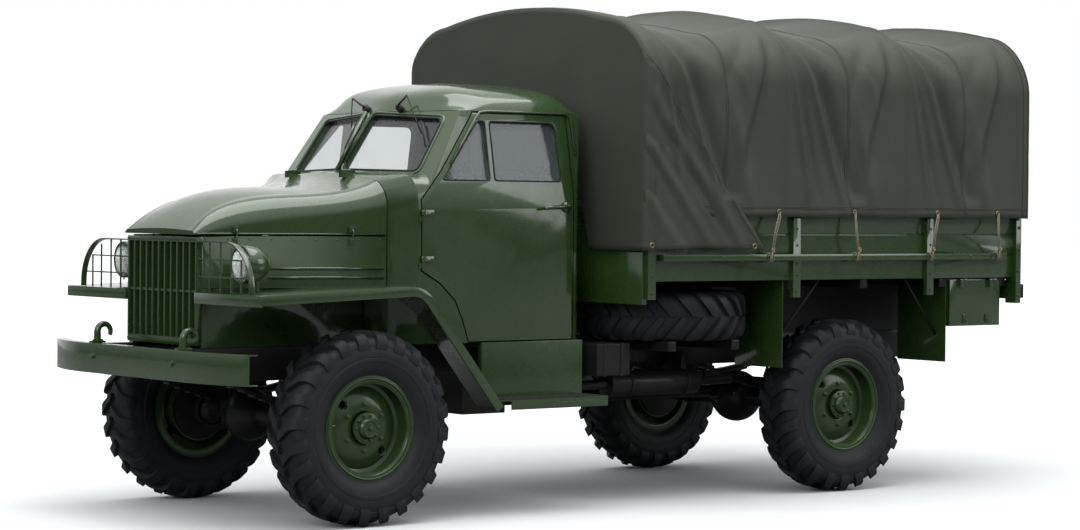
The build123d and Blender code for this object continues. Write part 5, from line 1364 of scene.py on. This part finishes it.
# From below the floor is clear, so the chassis shows.
below = ground.node("ShaderNodeNewGeometry").outputs["Backfacing"]
clear = ground.node("ShaderNodeBsdfTransparent").outputs[0]
ground.feed(ground.blend(below, ground.bsdf.outputs[0], clear), ground.surface)
floor_mesh.materials.append(ground.mat)

# The studio is white to the eye, and white in reflections behind the truck and overhead; low down it is dim.
BACKDROP = (-0.62, -0.78, 0.0)
STUDIO = [
    (0.0, (0.06, 0.065, 0.065)), (0.10, (0.20, 0.21, 0.22)),
    (0.28, (0.58, 0.62, 0.63)), (0.7, (0.76, 0.80, 0.82)),
]
world = bpy.data.worlds.new("studio")
scene.world = world
world.use_nodes = True
sky = Graph(world.node_tree)
where = sky.node("ShaderNodeTexCoord").outputs["Generated"]
height = sky.upward(where)
toward = sky.node("ShaderNodeVectorMath", {0: where}, operation="DOT_PRODUCT")
toward.inputs[1].default_value = BACKDROP
bright = sky.math("MAXIMUM", sky.span(toward.outputs["Value"], 0.45, 0.90), sky.span(height, 0.22, 0.62))
rays = sky.node("ShaderNodeLightPath").outputs
seen = sky.math("MAXIMUM", rays["Is Camera Ray"], rays["Is Transmission Ray"])
white = sky.math("MAXIMUM", seen, sky.math("MULTIPLY", rays["Is Glossy Ray"], bright))
sky.feed(sky.mix(white, sky.ramp(height, STUDIO), (1, 1, 1)), sky.tree.nodes["Background"].inputs["Color"])


def softbox(name, at, target, size, power):
    light = bpy.data.lights.new(name, "AREA")
    light.shape = "RECTANGLE"
    light.size, light.size_y = size
    light.energy = power
    obj = bpy.data.objects.new(name, light)
    obj.location = at
    obj.rotation_euler = (Vector(target) - Vector(at)).to_track_quat("-Z", "Y").to_euler()
    scene.collection.objects.link(obj)


softbox("overhead", (0.5, 1.0, 9.0), (0, 0, 1), (9, 8), 640)
softbox("front_left", (11.0, 7.0, 6.0), (0.8, 0, 1.2), (6, 5), 300)
softbox("rear_left", (-9.0, 9.0, 5.0), (-1.0, 0, 1.2), (6, 5), 190)

# Camera fitted to the photo, with its focal length in pixels of the photo's width.
PHOTO_WIDTH = 1080
FOCAL = 2832.1
SENSOR = 36.0
eye = Vector((10.8796, 13.6327, 1.7665))
yaw, pitch, roll = (math.radians(a) for a in (231.798, 1.2406, 0.5456))
ahead = Vector((math.cos(yaw) * math.cos(pitch), math.sin(yaw) * math.cos(pitch), -math.sin(pitch)))
right = ahead.cross(Vector((0, 0, 1))).normalized()
up = right.cross(ahead)
right_rolled = right * math.cos(roll) + up * math.sin(roll)
up_rolled = up * math.cos(roll) - right * math.sin(roll)
camera_data = bpy.data.cameras.new("camera")
camera_data.sensor_width = SENSOR
camera_data.lens = FOCAL / PHOTO_WIDTH * SENSOR
camera_data.clip_end = 400
camera = bpy.data.objects.new("camera", camera_data)
camera.matrix_world = Matrix((
    (right_rolled.x, up_rolled.x, -ahead.x, eye.x),
    (right_rolled.y, up_rolled.y, -ahead.y, eye.y),
    (right_rolled.z, up_rolled.z, -ahead.z, eye.z),
    (0, 0, 0, 1),
))
scene.collection.objects.link(camera)
scene.camera = camera
scene.view_settings.view_transform = "Standard"
